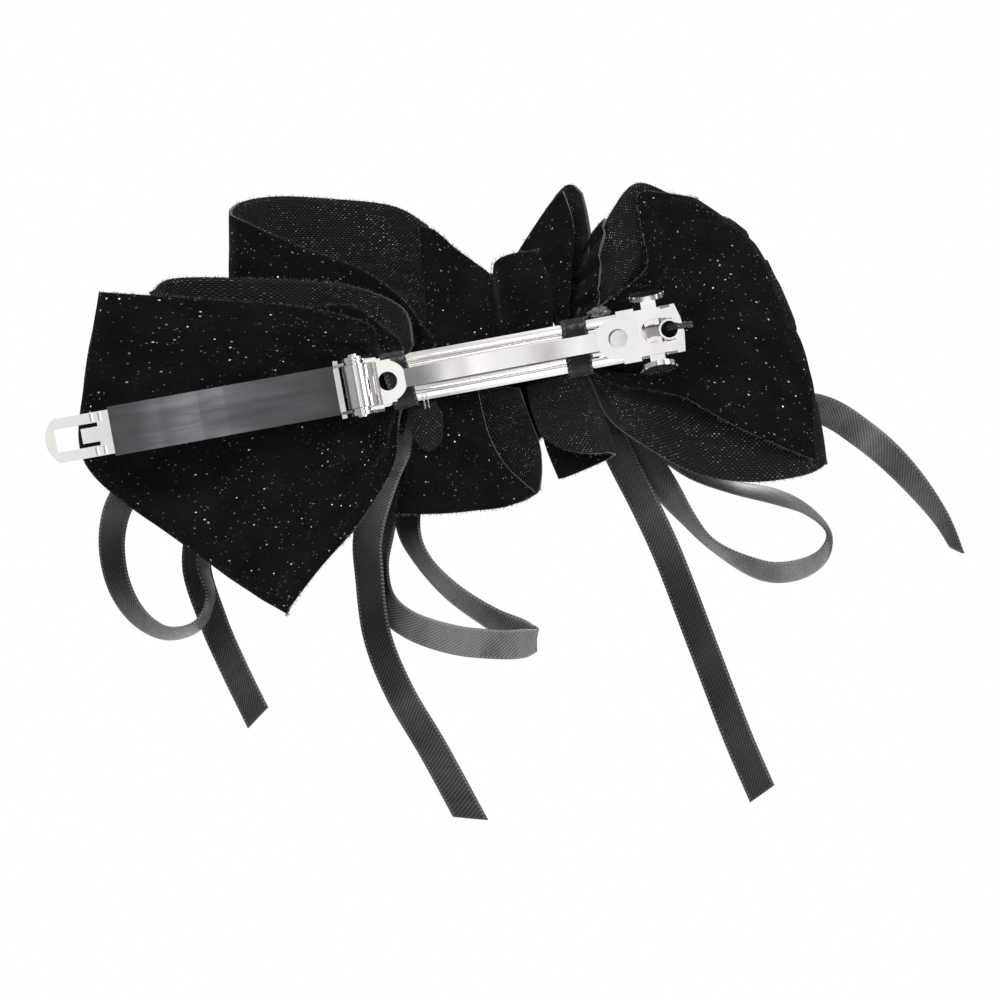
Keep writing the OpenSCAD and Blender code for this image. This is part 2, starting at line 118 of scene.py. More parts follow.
# %% The ribbons' routes, in mm, with the twist in degrees
RIBBON_WIDE = 6
RIBBON_THICK = 0.34
routes = {
    "left_satin_loop": [
        (-27.6, 15.2, 1, 0), (-42, 16, -3, 0), (-60, 16, -7, 0), (-75, 16, -9, 0),
        (-83.6, 16, -12.4, 10), (-87.8, 16, -20, 20), (-88.4, 16, -29.5, 30),
        (-85.6, 16, -37.4, 45), (-80.2, 16, -42, 60), (-73.6, 16.2, -41.4, 72),
        (-70, 16.4, -36, 78), (-70.2, 16.4, -29, 70), (-65, 17, -21, 30), (-52, 17.2, -13, 0),
        (-38, 17.2, -6, 0), (-28, 17, -1.6, 0)],
    "left_satin_tail": [
        (-27, 18.4, -2, 0), (-42, 18.8, -7, 0), (-58, 19, -13, 0), (-68, 19.4, -20, 0),
        (-72.2, 20, -29, 0), (-71, 20.4, -41, 10), (-68.7, 20, -51, 15), (-65.7, 19.4, -61.6, 15)],
    "middle_satin_loop": [
        (-22.5, 15.4, -5, 0), (-24, 14.6, -17, 0), (-27.5, 13.8, -28, 30), (-26.2, 12.4, -36, 55),
        (-21.2, 11.2, -44, 50), (-14, 10.2, -51, 40), (-8.2, 9.6, -55.2, 20),
        (-5.9, 8.2, -56.6, 88), (-8.6, 6.9, -56.8, 170), (-14, 6.6, -56, 175),
        (-22.4, 6.6, -53.5, 175), (-30.6, 8.6, -49, 160), (-35.2, 12, -43.4, 155),
        (-35.8, 13.8, -36, 170), (-33, 15.4, -28, 180), (-28.5, 16.4, -16, 180),
        (-24.6, 16.8, -5.4, 180)],
    "middle_satin_tail": [
        (-23, 6.2, -6.2, 0), (-25, 6.6, -11, 0), (-30.5, 7, -19, 0), (-35.5, 7.6, -29, 0),
        (-37, 8, -38, 15), (-37.6, 8, -50, 15), (-35.2, 8, -62, 5), (-30.5, 8, -75, 0),
        (-25.1, 8, -91.7, 0)],
    "right_satin_tail": [
        (13.5, 15.4, -5, 0), (15.5, 15.6, -14, 0), (18, 15.8, -24, 0), (21, 16, -34, 0),
        (24, 16, -46, 0), (27.5, 16, -65, 0), (30.8, 16, -83, 0), (33.7, 16, -95.9, 0)],
    "right_satin_loop": [
        (15.8, 17, -4, 0), (20, 17.2, -15, 0), (24.5, 17.4, -28, 15), (29, 17.4, -38, 60),
        (33.6, 17.4, -45, 72), (42, 17.4, -51.4, 48), (49, 17.4, -52.8, 44), (55, 17.4, -51, 58),
        (57.4, 17.8, -46.4, 76), (54, 18.4, -41, 70), (48, 18.8, -37, 58), (39, 18.8, -33, 62),
        (31, 18.8, -27, 40), (23.5, 18.6, -16, 0), (17, 18.2, -3, 0)],
    "far_right_satin_tail": [
        (16, 19.6, -2, 0), (24, 20, -12, 0), (36, 19.6, -17, 0), (48, 18.6, -18, 0),
        (60, 17.6, -21, 0), (68, 17, -28, 12), (74.4, 17, -36.4, 34), (80, 17, -47, 62),
        (82.6, 17, -55.6, 80)],
}
slanted_cut = {"left_satin_tail": -2.0, "middle_satin_tail": 4.0,
               "right_satin_tail": -1.3, "far_right_satin_tail": 2.0}


# %% [markdown]
# A grid starts flat, with one row for each step along the ribbon. Each row is then stood across
# the line, turned by the twist, and cupped a little, as ribbon from a reel is. The slanted cut of
# a tail comes from letting one edge run a few millimetres further than the other.

# %% Make a ribbon
def new_piece(name, mesh_edit):
    bm = bmesh.new()
    mesh_edit(bm)
    mesh = bpy.data.meshes.new(name)
    bm.to_mesh(mesh)
    bm.free()
    piece = bpy.data.objects.new(name, mesh)
    bpy.context.collection.objects.link(piece)
    for face in mesh.polygons:
        face.use_smooth = True
    return piece


def wall(piece, thick, offset=0.0, inside=0, rim=0):
    solid = piece.modifiers.new("wall", "SOLIDIFY")
    solid.thickness = thick * MM
    solid.offset = offset
    solid.use_even_offset = False
    solid.material_offset = inside
    solid.material_offset_rim = rim
    return solid


def stations(points, count):
    line, length = even(smooth(points, 400), count)
    frames = []
    for i, p in enumerate(line):
        a = Vector(line[max(0, i - 1)][:3])
        b = Vector(line[min(count - 1, i + 1)][:3])
        along = (b - a).normalized()
        across = Vector((0, 1, 0)).cross(along).normalized()
        out = along.cross(across)
        turn = math.radians(p[3])
        wide = across * math.cos(turn) + out * math.sin(turn)
        frames.append((Vector(p[:3]), along, wide, along.cross(wide)))
    for _ in range(6):
        eased = [frames[0][2]] + [(a[2] + b[2] * 2 + c[2]).normalized()
                                  for a, b, c in zip(frames, frames[1:], frames[2:])]
        eased.append(frames[-1][2])
        frames = [(p, along, wide, along.cross(wide).normalized())
                  for (p, along, _, _), wide in zip(frames, eased)]
    return frames, length


def ribbon(name, points, cut=0.0, wide=RIBBON_WIDE, thick=RIBBON_THICK, cup=0.25, rows=8):
    _, length = stations(points, 20)
    count = int(length / 0.7) + 2
    frames, length = stations(points, count)

    def edit(bm):
        uv_layer = bm.loops.layers.uv.new("cloth")
        level = bm.verts.layers.float.new("lies level")
        bmesh.ops.create_grid(bm, x_segments=count - 1, y_segments=rows, size=1)
        spots = {}
        for v in bm.verts:
            i = round((v.co.x + 1) / 2 * (count - 1))
            s = v.co.y
            spots[v] = (i / (count - 1) * length, s * wide / 2)
            reach = i / (count - 1)
            f = i - cut * (s + 1) / 2 / length * (count - 1) * ease((reach - 0.5) * 2)
            k = max(0, min(count - 2, int(f)))
            g = f - k
            p0, along, w0, o0 = frames[k]
            # How level the strip lies here: the satin finish paints a lighter sheen into its colour from it.
            v[level] = abs(along.x)
            p1, _, w1, o1 = frames[k + 1]
            at = p0.lerp(p1, g) + w0.lerp(w1, g) * s * wide / 2
            v.co = (at + o0.lerp(o1, g) * cup * (s * s - 0.4)) * MM
        for face in bm.faces:
            for loop in face.loops:
                loop[uv_layer].uv = spots[loop.vert]
    piece = new_piece(name, edit)
    wall(piece, thick)
    path = [(p * MM)[:] for p, _, _, _ in frames]
    return piece, path, length


ribbons = {}
for name, points in routes.items():
    piece, path, length = ribbon("woven_" + name, points, slanted_cut.get(name, 0.0))
    ribbons[name] = piece
    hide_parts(name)
    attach(piece, "root")
    print(name, "is", round(length), "mm long")

# %% [markdown]
# ## Velvet sheets
# Each wing of the bow is one band of velvet that leaves the tie, turns over at its far end and
# comes back behind itself. It could be draped with a cloth solver, but the folds of this bow are
# set by its ties, so each sheet is laid down through listed points: a few rows of points from the
# tie outwards, each row running across the band from its top edge to its bottom edge. A smooth
# surface is then drawn through all of them, and pleats are pressed in that are deep at the tie and
# fade outwards.

# %% Lay a sheet through its rows
VELVET_THICK = 0.7
PLEAT_REACH = 11.0


def through(rows, along, across):
    """A dense net of points on the smooth surface that runs through the rows."""
    ribs = [even(smooth(row, 120), across)[0] for row in rows]
    threads = [smooth([rib[j] for rib in ribs], along) for j in range(across)]
    return [[Vector(threads[j][i]) for j in range(across)] for i in range(along)]


def press_pleats(net, count, depth, ties, seed, reach):
    """Folds that radiate from a tie, and a few soft dents further out."""
    across = len(net[0])
    along = len(net)
    shift = {}
    for i in range(along):
        for j in range(across):
            u = net[min(along - 1, i + 1)][j] - net[max(0, i - 1)][j]
            w = net[i][min(across - 1, j + 1)] - net[i][max(0, j - 1)]
            n = u.cross(w)
            n = n.normalized() if n.length > 1e-9 else Vector((0, -1, 0))
            p = net[i][j]
            near = min((p - Vector(t)).length for t in ties) if ties else 1e3
            v = j / (across - 1)
            wobble = noise.noise(Vector((v * 4, near * 0.03, seed)))
            turn = ((v + 0.04 * wobble) * count + seed) % 1.0
            fold = 2 * turn - 1 if turn < 0.86 else 0.72 - (turn - 0.86) * 12.29
            fade = math.exp(-max(0.0, near - 5) / reach) * ease(near / 4)
            dent = noise.noise(Vector((p.x * 0.06, p.z * 0.06, seed * 3.1)))
            fine = noise.noise(Vector((p.x * 0.22, p.z * 0.22, seed * 1.7)))
            shift[i, j] = n * (fold * depth * fade + (0.7 * dent + 0.12 * fine) * ease(near / 30))
    for (i, j), s in shift.items():
        net[i][j] = net[i][j] + s


def sheet(name, layers, flat, pleats=5, depth=0.9, ties=((-23.5, 3, 0),), seed=1, step=1.15,
          reach=PLEAT_REACH):
    """One or more layers of the same band. A layer's pile lies on the side that faces a reader for
    whom its rows run from right to left."""
    nets = []

    def edit(bm):
        uv_layer = bm.loops.layers.uv.new("cloth")
        for rows in layers:
            middle = [row[len(row) // 2] for row in rows]
            length = even(smooth(middle, 200), 50)[1]
            widest = max(even(smooth(row, 100), 50)[1] for row in rows)
            along = int(length / step) + 2
            across = int(widest / step) + 2
            net = through(rows, along, across)
            press_pleats(net, pleats, depth, ties, seed, reach)
            nets.append(net)
            old = set(bm.verts)
            bmesh.ops.create_grid(bm, x_segments=along - 1, y_segments=across - 1, size=1)
            spots = {}
            for v in bm.verts:
                if v in old:
                    continue
                i = round((v.co.x + 1) / 2 * (along - 1))
                j = round((v.co.y + 1) / 2 * (across - 1))
                spots[v] = (i / (along - 1) * length, j / (across - 1) * widest)
                v.co = net[i][j] * MM
            for face in bm.faces:
                if face.verts[0] in spots:
                    for loop in face.loops:
                        loop[uv_layer].uv = spots[loop.vert]

    piece = new_piece("sewn_" + name, edit)
    wall(piece, VELVET_THICK, offset=-1, inside=1, rim=2)
    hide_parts(name)
    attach(piece, "root")
    size = sum(face.area for face in piece.data.polygons) / MM / MM
    print(name, "has", round(size), "mm2 of cloth, cut", flat)
    velvet_nets[piece] = nets
    return piece


def turned(rows):
    """The same rows read from the other edge, which puts the pile on the other side."""
    return [list(reversed(row)) for row in rows]


velvet_nets = {}
left_tie = (-23.5, 3, 0)
right_tie = (12.7, 4, 0)

# %% [markdown]
# The left wing is the one that lies under the open arm, so its near wall is almost flat. Its turn
# is a long sharp line on the left, and the band narrows from there into the tie.

# %% The left wing
sheet("left_velvet_wing", [[
    [(-24.4, 2.2, 4.3), (-24.4, 2.9, 1.8), (-24.4, 2.2, 0), (-24.4, 2.9, -2), (-24.4, 2.2, -4.3)],
    [(-26.2, 2.4, 7.4), (-27.5, 1.6, 4.5), (-28.5, 2.6, 0), (-28, 1.8, -6), (-25.6, 2.8, -9.9)],
    [(-27.9, 2.8, 12.4), (-33, 2.2, 6), (-34, 2.6, 0), (-32.5, 2.2, -8), (-28, 2.6, -17)],
    [(-40.6, 2.6, 18.1), (-45, 1.9, 9), (-47, 2.4, -1), (-45, 2.1, -13), (-36.5, 2.4, -26.6)],
    [(-58, 2.7, 22.8), (-62, 2.2, 11), (-64, 2.5, -3), (-59, 2.3, -17), (-46, 2.6, -34.2)],
    [(-78, 3.4, 28), (-83.5, 3, 12), (-86.3, 3.2, -5), (-72.5, 3.2, -22.6), (-53.8, 3.4, -41.2)],
    [(-79.2, 4.8, 28.2), (-84.8, 4.8, 12), (-87.6, 4.8, -5.2), (-73.5, 4.8, -23.4),
     (-54.2, 4.8, -42)],
    [(-78, 6.2, 28), (-83.5, 6.6, 12), (-86.3, 6.4, -5), (-72.5, 6.4, -22.6), (-53.8, 6.2, -41.2)],
    [(-56, 6, 21.5), (-60, 6.4, 10), (-61, 6.2, -3), (-56, 6.2, -16), (-45, 5.6, -32)],
    [(-38, 4.8, 14), (-40, 5.2, 7), (-41, 5, -1), (-39, 5, -10), (-34, 4.6, -22)],
    [(-24.4, 3.4, 4.3), (-24.4, 4, 1.8), (-24.4, 3.4, 0), (-24.4, 4, -2), (-24.4, 3.4, -4.3)]]],
    flat=(62, 110), ties=(left_tie,), seed=1.3, pleats=4)

# %% [markdown]
# Behind it lies a second loop, set higher. Its far wall stands above the near one, so the knitted
# back of the velvet shows as a long grey band between the two fuzzy edges.

# %% The left middle loop
sheet("left_velvet_middle_loop", [[
    [(-22, 5, 5), (-23, 4.6, 2.5), (-23, 5, 0), (-23, 4.6, -2.5), (-22.5, 5, -5)],
    [(-22.1, 6.6, 8.1), (-25.5, 5.6, 4.5), (-27, 5.4, 0), (-27, 5.6, -5), (-25, 5.8, -11)],
    [(-25, 7.2, 11.4), (-30, 6.6, 6), (-32, 6.4, 0), (-32, 6.8, -8), (-29, 7, -17)],
    [(-31.2, 7.6, 17), (-38, 7.4, 8), (-42, 7.4, 0), (-42, 7.4, -11), (-36, 7.4, -26)],
    [(-46, 8, 19), (-52, 8, 10), (-55, 8, 0), (-51, 8, -13), (-41, 8, -30)],
    [(-67.5, 9, 26), (-67.5, 9, 13), (-66, 9, 0), (-58, 9, -14), (-43.7, 9, -31.4)],
    [(-69.5, 10.4, 27.6), (-69, 10.4, 13), (-67, 10.4, 0), (-59, 10.4, -14), (-44.5, 10.4, -32)],
    [(-64.1, 11.6, 29), (-64, 11.8, 14), (-62, 11.8, 0), (-56, 11.6, -13), (-42, 11.4, -30.5)],
    [(-44, 11.8, 25), (-46, 12, 12), (-47, 12, 0), (-44, 12, -12), (-37, 11.6, -27)],
    [(-30.6, 11, 21.3), (-33, 11.4, 10), (-34, 11.2, 0), (-32.5, 11, -9), (-29, 10.6, -19)],
    [(-20.2, 8.8, 14.4), (-24.5, 9, 6), (-26, 8.8, 0), (-25.6, 8.8, -5), (-24, 8.6, -11)],
    [(-19.2, 6.6, 6.4), (-22.6, 7, 3), (-23, 7, 0), (-23, 7, -2.5), (-22.6, 7, -5)]]],
    flat=(48, 92), ties=(left_tie,), seed=2.1, pleats=4)

# %% [markdown]
# The upper loop stands up like an open cup. The near wall shows its pile below a bright cut edge,
# the far wall shows its knitted back, and both end in the tie.

# %% The left upper loop
sheet("left_velvet_upper_loop", [[
    [(-15, 8.2, 6.4), (-19, 8.4, 4), (-22, 8.6, 2), (-22.5, 9, 0), (-22.5, 9.4, -3)],
    [(-17, 10.4, 10.3), (-21, 10, 6), (-24, 9.8, 3), (-26, 10.2, 0), (-26, 10.4, -4)],
    [(-20.3, 12, 16.6), (-25, 11.8, 10), (-29, 11.6, 6), (-31, 11.6, 2), (-31.5, 12, -4)],
    [(-27.4, 13, 24.1), (-33, 13, 15), (-37, 13, 9), (-39, 13, 4), (-39, 13, -3)],
    [(-39.6, 13.4, 31.4), (-44, 13.6, 21), (-47, 13.6, 14), (-48.5, 13.6, 8), (-48, 13.4, 0)],
    [(-49.6, 15.4, 38.6), (-52, 15.4, 29), (-54.4, 15.4, 20), (-55, 15.4, 12), (-54, 15, 3)],
    [(-52.2, 18.6, 41), (-54.2, 18.6, 31), (-56, 18.6, 21), (-56.5, 18.6, 12), (-55, 18, 4)],
    [(-49.5, 22.6, 43.2), (-51.5, 22.6, 32), (-53, 22.6, 22), (-54, 22.6, 13), (-52, 22, 5)],
    [(-41.6, 24.6, 43.1), (-43, 25, 32), (-44, 25, 22), (-44, 25, 13), (-43, 24, 5)],
    [(-30, 25.4, 40.4), (-31, 26, 31), (-32, 26, 22), (-32, 25.6, 13), (-31, 24.4, 5)],
    [(-18.6, 25.2, 36.8), (-20, 25.6, 29), (-21, 25.2, 20), (-21, 24, 12), (-21, 22, 4)],
    [(-12.4, 23.6, 31.4), (-12.6, 23.8, 25), (-13.4, 23, 17), (-14.6, 21, 10), (-16, 19, 3)]]],
    flat=(32, 96), ties=((-21, 10, 3),), seed=3.7, pleats=4, depth=0.7)

# %% [markdown]
# In the middle the same band is caught up in short folds: a crest that stands up like a small
# horn, a ruffle along the clip, a hanging panel that turns its knitted back outwards, and a flap.

# %% The crest, the ruffle, the panel and the flap
sheet("centre_velvet_crest", [[
    [(15.8, 8.6, 32), (16.6, 7, 27), (16.4, 6.4, 22), (14.4, 6, 15), (12, 5.4, 4.8)],
    [(13.6, 9.4, 30.6), (13.6, 7.4, 25), (13, 6.4, 20), (12, 6, 13), (11, 5.4, 4.4)],
    [(8.6, 11, 25.8), (9.4, 9, 21.6), (9.8, 7.6, 17), (9.8, 6.6, 11), (10, 5.6, 4.2)],
    [(4.4, 12.4, 21.4), (6, 11, 17.6), (7, 9.6, 14), (8.4, 8.4, 9), (9.4, 7, 4.2)],
    [(4.8, 14, 21.4), (6.4, 13, 17.6), (7.4, 12, 14), (8.6, 10.6, 9), (9.6, 8.4, 4.2)],
    [(10.4, 13.6, 27.2), (11, 13, 22), (11, 12, 17), (11, 11, 11), (11, 8.8, 4.2)],
    [(15.4, 13, 32.4), (15.8, 12.4, 26), (15.4, 11.6, 20), (14, 10.6, 13), (12.8, 8.8, 4.4)],
    [(18.2, 12.2, 33.2), (18.6, 11.6, 27), (18.2, 10.8, 21), (16.4, 10, 14), (13.8, 8.4, 4.8)],
    [(19.8, 10.6, 31), (19.8, 10, 25.6), (19.4, 9.4, 20), (17.4, 8.8, 13.4), (14.4, 7.4, 5)]]],
    flat=(22, 28), ties=(right_tie,), seed=4.2, pleats=2, depth=0.3, step=0.8)
sheet("centre_velvet_ruffle", [turned([
    [(-14.4, 20.6, 31.4), (-15, 19, 24), (-16, 16, 15), (-17.6, 12, 7), (-18.6, 8, 1)],
    [(-11.4, 20.8, 30), (-12, 18.4, 22), (-13, 14.6, 14), (-14.6, 10.4, 7), (-15.6, 7, 1)],
    [(-8, 20, 25.8), (-8.8, 16.8, 19.4), (-9.8, 13, 13), (-11.2, 9, 7), (-12.2, 6.2, 1)],
    [(-5, 18.4, 22.6), (-5.6, 14.4, 17.2), (-6.6, 10.8, 12), (-7.8, 7.6, 6.4), (-8.8, 5.8, 1)],
    [(-2.6, 15.4, 19.8), (-3.2, 11.6, 15.4), (-3.8, 9, 11), (-4.8, 7, 6), (-5.6, 5.8, 1)],
    [(-1.4, 12.2, 18.2), (-1.6, 10.8, 14.4), (-1.8, 9, 10.6), (-2.4, 7.2, 6), (-3, 6, 1)],
    [(-0.6, 9, 20.2), (-0.4, 6.6, 15.4), (-0.4, 6, 11), (-0.6, 5.6, 6), (-0.8, 5.4, 1)],
    [(2, 8.4, 21.2), (2.2, 5.4, 16), (2.2, 5, 11), (2, 5, 6), (1.8, 5.2, 1)],
    [(5.6, 8.6, 21.2), (5.4, 5.6, 15.8), (5.2, 5.2, 11), (4.8, 5, 6), (4.4, 5.2, 1)],
    [(9.4, 9.4, 20.4), (8.6, 6.6, 15), (7.8, 5.6, 10.4), (7, 5.2, 6), (6.6, 5.4, 1)],
    [(12.4, 10.8, 18.4), (10.8, 8.2, 13.4), (9.6, 6.8, 9.4), (8.8, 6, 5.4), (8.4, 5.8, 1)]])],
    flat=(22, 40), ties=(), seed=5.5, pleats=3, depth=0.4, step=0.8)
sheet("centre_velvet_panel", [[
    [(-8.4, 3.3, -4.6), (-8.3, 3.5, -10.4), (-7.6, 4, -15.7), (-5.3, 5.4, -21.5), (-0.8, 7.4, -27.4)],
    [(-10.6, 3.6, -4.6), (-10.6, 3.9, -11), (-10.2, 4.6, -17), (-9, 6, -23), (-6.6, 8.2, -29)],
    [(-13.6, 4.4, -4.7), (-14, 4.4, -11.4), (-14.2, 5.4, -17.6), (-14, 6.8, -23.4), (-13.4, 8.6, -28.6)],
    [(-17.4, 3.8, -4.8), (-18.4, 4.4, -11.2), (-19.4, 5.6, -17.4), (-20, 7.2, -23), (-20.4, 8.8, -28)],
    [(-19.8, 4.4, -5), (-21.8, 5.2, -10.6), (-24, 6.4, -16.6), (-26, 8, -22), (-28, 9.4, -26.6)],
    [(-19.8, 6.4, -5), (-22, 7.2, -10.6), (-24.4, 8.4, -16.6), (-26.6, 9.6, -22), (-28.4, 10.4, -26.6)],
    [(-14, 7.4, -5), (-15, 8.4, -11), (-16, 9.8, -17), (-17, 10.8, -23), (-17.6, 11.4, -27.6)],
    [(-7, 7, -5), (-7, 8.4, -11.4), (-6.8, 9.8, -17.6), (-6.4, 10.8, -23.4), (-5.6, 11.4, -28.6)],
    [(-2.6, 6.4, -5.2), (-2, 7.6, -11), (-1.4, 9, -17), (-1, 10, -22.6), (-0.8, 10.6, -27.6)],
    [(0, 6, -6), (0.8, 7, -11.4), (1.9, 8.2, -17.6), (1.6, 9.2, -22.6), (0.6, 9.8, -26.8)]],
    [[(-22.8, 3, -5.6), (-23, 3, -8.4), (-22.8, 3.4, -11.2), (-21.6, 4, -13.8)],
     [(-21, 2.4, -5.4), (-21, 2.2, -8.6), (-20.8, 2.8, -12), (-20.4, 3.6, -15)],
     [(-19, 2.8, -5.4), (-18.6, 2.6, -8.4), (-18.6, 3, -11.4), (-19, 3.8, -14.4)],
     [(-17.6, 3.8, -5.6), (-17, 3.8, -8), (-17.2, 4, -10.8), (-18.2, 4.6, -13.4)]]],
    flat=(24, 50), ties=(), seed=6.4, pleats=3, depth=0.45, step=0.8)
sheet("centre_velvet_flap", [[
    [(1.6, 6.6, -5.8), (1.4, 6.4, -9.4), (1.8, 6, -13), (2.4, 5.6, -16.4)],
    [(4.4, 5.4, -5.4), (4.4, 5.6, -10), (4.8, 5.2, -14.6), (5.4, 4.8, -19)],
    [(7.8, 4.4, -5.2), (8, 5, -10.6), (8.6, 4.8, -15.8), (9.2, 4.6, -20.9)],
    [(11, 4.4, -5.2), (11.8, 5.4, -11), (12.4, 5.4, -16.6), (13.2, 5.2, -21.9)],
    [(12.6, 5.2, -5.6), (14, 6.4, -11.4), (14.6, 6.6, -16.8), (14.6, 6.4, -21.9)],
    [(12.2, 6.8, -6), (14.2, 8, -12), (15.4, 8, -17.6), (15.8, 7.8, -22.8)],
    [(10.4, 7.8, -6), (11.4, 8.8, -13), (12.4, 8.8, -19), (12, 8.6, -24)],
    [(6.6, 8, -6.6), (6.6, 8.8, -13.6), (6.6, 8.8, -20), (6.6, 8.6, -25.2)],
    [(2.6, 8, -6.6), (2.6, 8.6, -12), (3, 8.6, -18.6), (4.4, 8.4, -25.4)]]],
    flat=(17, 28), ties=(), seed=7.2, pleats=2, depth=0.3, step=0.8)

# %% [markdown]
# The right wing opens towards the head. Its cut edge and its knitted back show at the top left
# and along the bottom, and three creases run out from the tie over the pile.

# %% The right wing
sheet("right_velvet_wing", [turned([
    [(13.8, 3.4, 4.4), (13.8, 4.2, 2.4), (13.8, 3.5, 0), (13.8, 4.2, -2), (13.8, 3.7, -4.4)],
    [(21, 5.6, 8.4), (21.4, 4.6, 4.6), (21.4, 4.2, 0.4), (21, 4.2, -4.4), (19, 3.9, -8.8)],
    [(29.6, 8, 13.4), (29.6, 6.2, 7.4), (29.6, 5.4, 1), (28.4, 5, -5), (25.4, 4.8, -11)],
    [(30.2, 9.4, 21), (35.4, 7.4, 12.4), (37, 6.4, 2.4), (36, 6, -6.6), (32.4, 5.6, -14)],
    [(30.8, 10, 28.6), (41.6, 8.4, 17.6), (45, 7.4, 3.6), (44.4, 6.8, -9.6), (41, 6.6, -21)],
    [(36, 10, 28), (48.2, 9, 18.2), (53, 8.2, 3), (53, 7.6, -12.4), (50.4, 7.6, -27.4)],
    [(41.2, 10.4, 26.4), (51, 9.6, 16.4), (55.9, 9, 1.6), (57.8, 8.4, -14.4), (57.2, 8.8, -31.6)],
    [(42.8, 11.2, 25.6), (51.8, 10.6, 15.4), (56.4, 10, 0.6), (58.4, 9.6, -15.4), (58, 9.6, -32.6)],
    [(38, 12, 27.4), (47, 11.8, 15.4), (51.6, 11.4, 0), (53.4, 11, -16), (53, 10.6, -33.8)],
    [(31, 12, 31), (39.4, 12, 16), (43, 11.6, 0), (43.6, 11.2, -16), (42.2, 10.6, -33)],
    [(25, 11, 26.4), (31.6, 11.4, 13.6), (34, 11, 0), (34, 10.6, -13), (31.4, 10, -29)],
    [(21.2, 9.6, 20.4), (25, 10, 11), (26.6, 9.8, 0), (26, 9.4, -9), (22.4, 8.8, -21.6)],
    [(19.3, 7.8, 11), (20.4, 8.2, 6.4), (20.8, 8, 0), (20, 7.8, -5.4), (16.2, 7.2, -14.6)],
    [(14, 6, 4.6), (14, 6.6, 2.4), (14, 6, 0), (14, 6.6, -2), (13.6, 6, -4.8)]]),
    [[(23.2, 8.6, 25), (21.4, 6.4, 20.4), (20, 5.8, 15.4), (19.2, 5.4, 10.9), (17.4, 4.8, 5.6)],
     [(21, 9.4, 23.2), (19.4, 7.4, 18.6), (18.2, 6.6, 14), (17.4, 6, 10), (16, 5.2, 5.4)],
     [(18.4, 10.6, 20.6), (17, 9, 16.4), (16, 7.8, 12.4), (15.4, 6.8, 9), (14.6, 5.6, 5)],
     [(16.6, 12, 18.4), (15, 10.6, 14.6), (14, 9.2, 11), (13.4, 7.6, 8), (13.2, 6, 4.8)]]],
    flat=(46, 90), ties=(right_tie,), seed=8.6, pleats=3, depth=1.3, reach=22)

# %% [markdown]
# On the side that is worn outwards, a puff fills the middle and a second loop stands on the right,
# so the bow is full from the front too.

# %% The puff and the right upper loop
sheet("centre_velvet_puff", [[
    [(-20.4, 12, 4.4), (-20.4, 13, 2), (-20.4, 12.4, 0), (-20.4, 13, -2), (-20.4, 12, -4.6)],
    [(-17, 14, 7.4), (-17.4, 17.6, 4), (-17.6, 19.6, -0.4), (-17.4, 17.6, -7), (-17, 13, -12.6)],
    [(-11.4, 15.4, 10.6), (-12, 20.4, 6.4), (-12, 23.4, -0.8), (-12, 20.6, -9.6), (-11.4, 13.6, -18)],
    [(-5, 16, 11.2), (-5.4, 21.6, 7), (-5.4, 25, -1), (-5.4, 21.8, -10.4), (-5, 14, -18.8)],
    [(1.4, 15.4, 10.4), (1.4, 20.4, 6.4), (1.4, 23.4, -0.8), (1.4, 20.6, -9.6), (1.4, 13.6, -17.6)],
    [(6.6, 14, 7.4), (6.6, 17.6, 4), (6.8, 19.6, -0.4), (6.6, 17.6, -7), (6.6, 13, -12)],
    [(10, 12, 4.4), (10, 13, 2), (10, 12.4, 0), (10, 13, -2), (10, 12, -4.6)]]],
    flat=(40, 34), ties=((-20.4, 12.4, 0), (10, 12.4, 0)), seed=9.1, pleats=5, depth=0.9)
sheet("right_velvet_upper_loop", [turned([
    [(13.6, 9.4, 4.5), (13.6, 9.8, 3.24), (13.6, 9.4, 1.98), (13.6, 9.8, 0.9), (13.6, 9.4, -0.54)],
    [(20.99, 13.4, 11.7), (21.87, 13.6, 8.64), (22.4, 13.6, 5.4), (22.75, 13.4, 2.7), (22.75, 13.4, 0)],
    [(29.79, 14, 18), (31.55, 14.4, 13.5), (32.43, 14.4, 9), (32.96, 14.2, 5.4), (32.43, 14, 1.26)],
    [(38.59, 15.6, 21.6), (41.23, 16, 16.2), (42.64, 16, 10.8), (42.99, 15.8, 6.3), (42.11, 15.4, 1.8)],
    [(40.35, 19, 22.1), (43.34, 19.4, 16.6), (44.75, 19.6, 11.2), (44.93, 19.4, 6.66), (43.87, 19, 2.16)],
    [(37.71, 23, 21.6), (40.35, 23.6, 16.2), (41.76, 24, 10.8), (42.11, 23.6, 6.3), (41.23, 23, 1.8)],
    [(28.91, 24.4, 18), (30.67, 25, 13.5), (31.55, 25.2, 9), (31.9, 25, 5.4), (31.55, 24.4, 1.44)],
    [(20.11, 21, 11.7), (20.99, 21.6, 8.64), (21.52, 21.6, 5.4), (21.87, 21.4, 2.7), (21.87, 21, 0)],
    [(14.48, 12.6, 4.14), (14.48, 13, 3.06), (14.48, 12.6, 1.98), (14.48, 13, 0.9), (14.48, 12.6, -0.54)]])],
    flat=(18, 64), ties=((13.6, 10, 2),), seed=10.3, pleats=3, depth=0.7)

# %% [markdown]
# Cut velvet frays: short ends of pile and ground yarn stand out all along a raw edge. They are far
# too fine to be part of a sheet, so each is a tiny three-sided cone, and the fringe of one sheet
# is one piece. The cones lean and vary in length, and the random numbers are seeded.

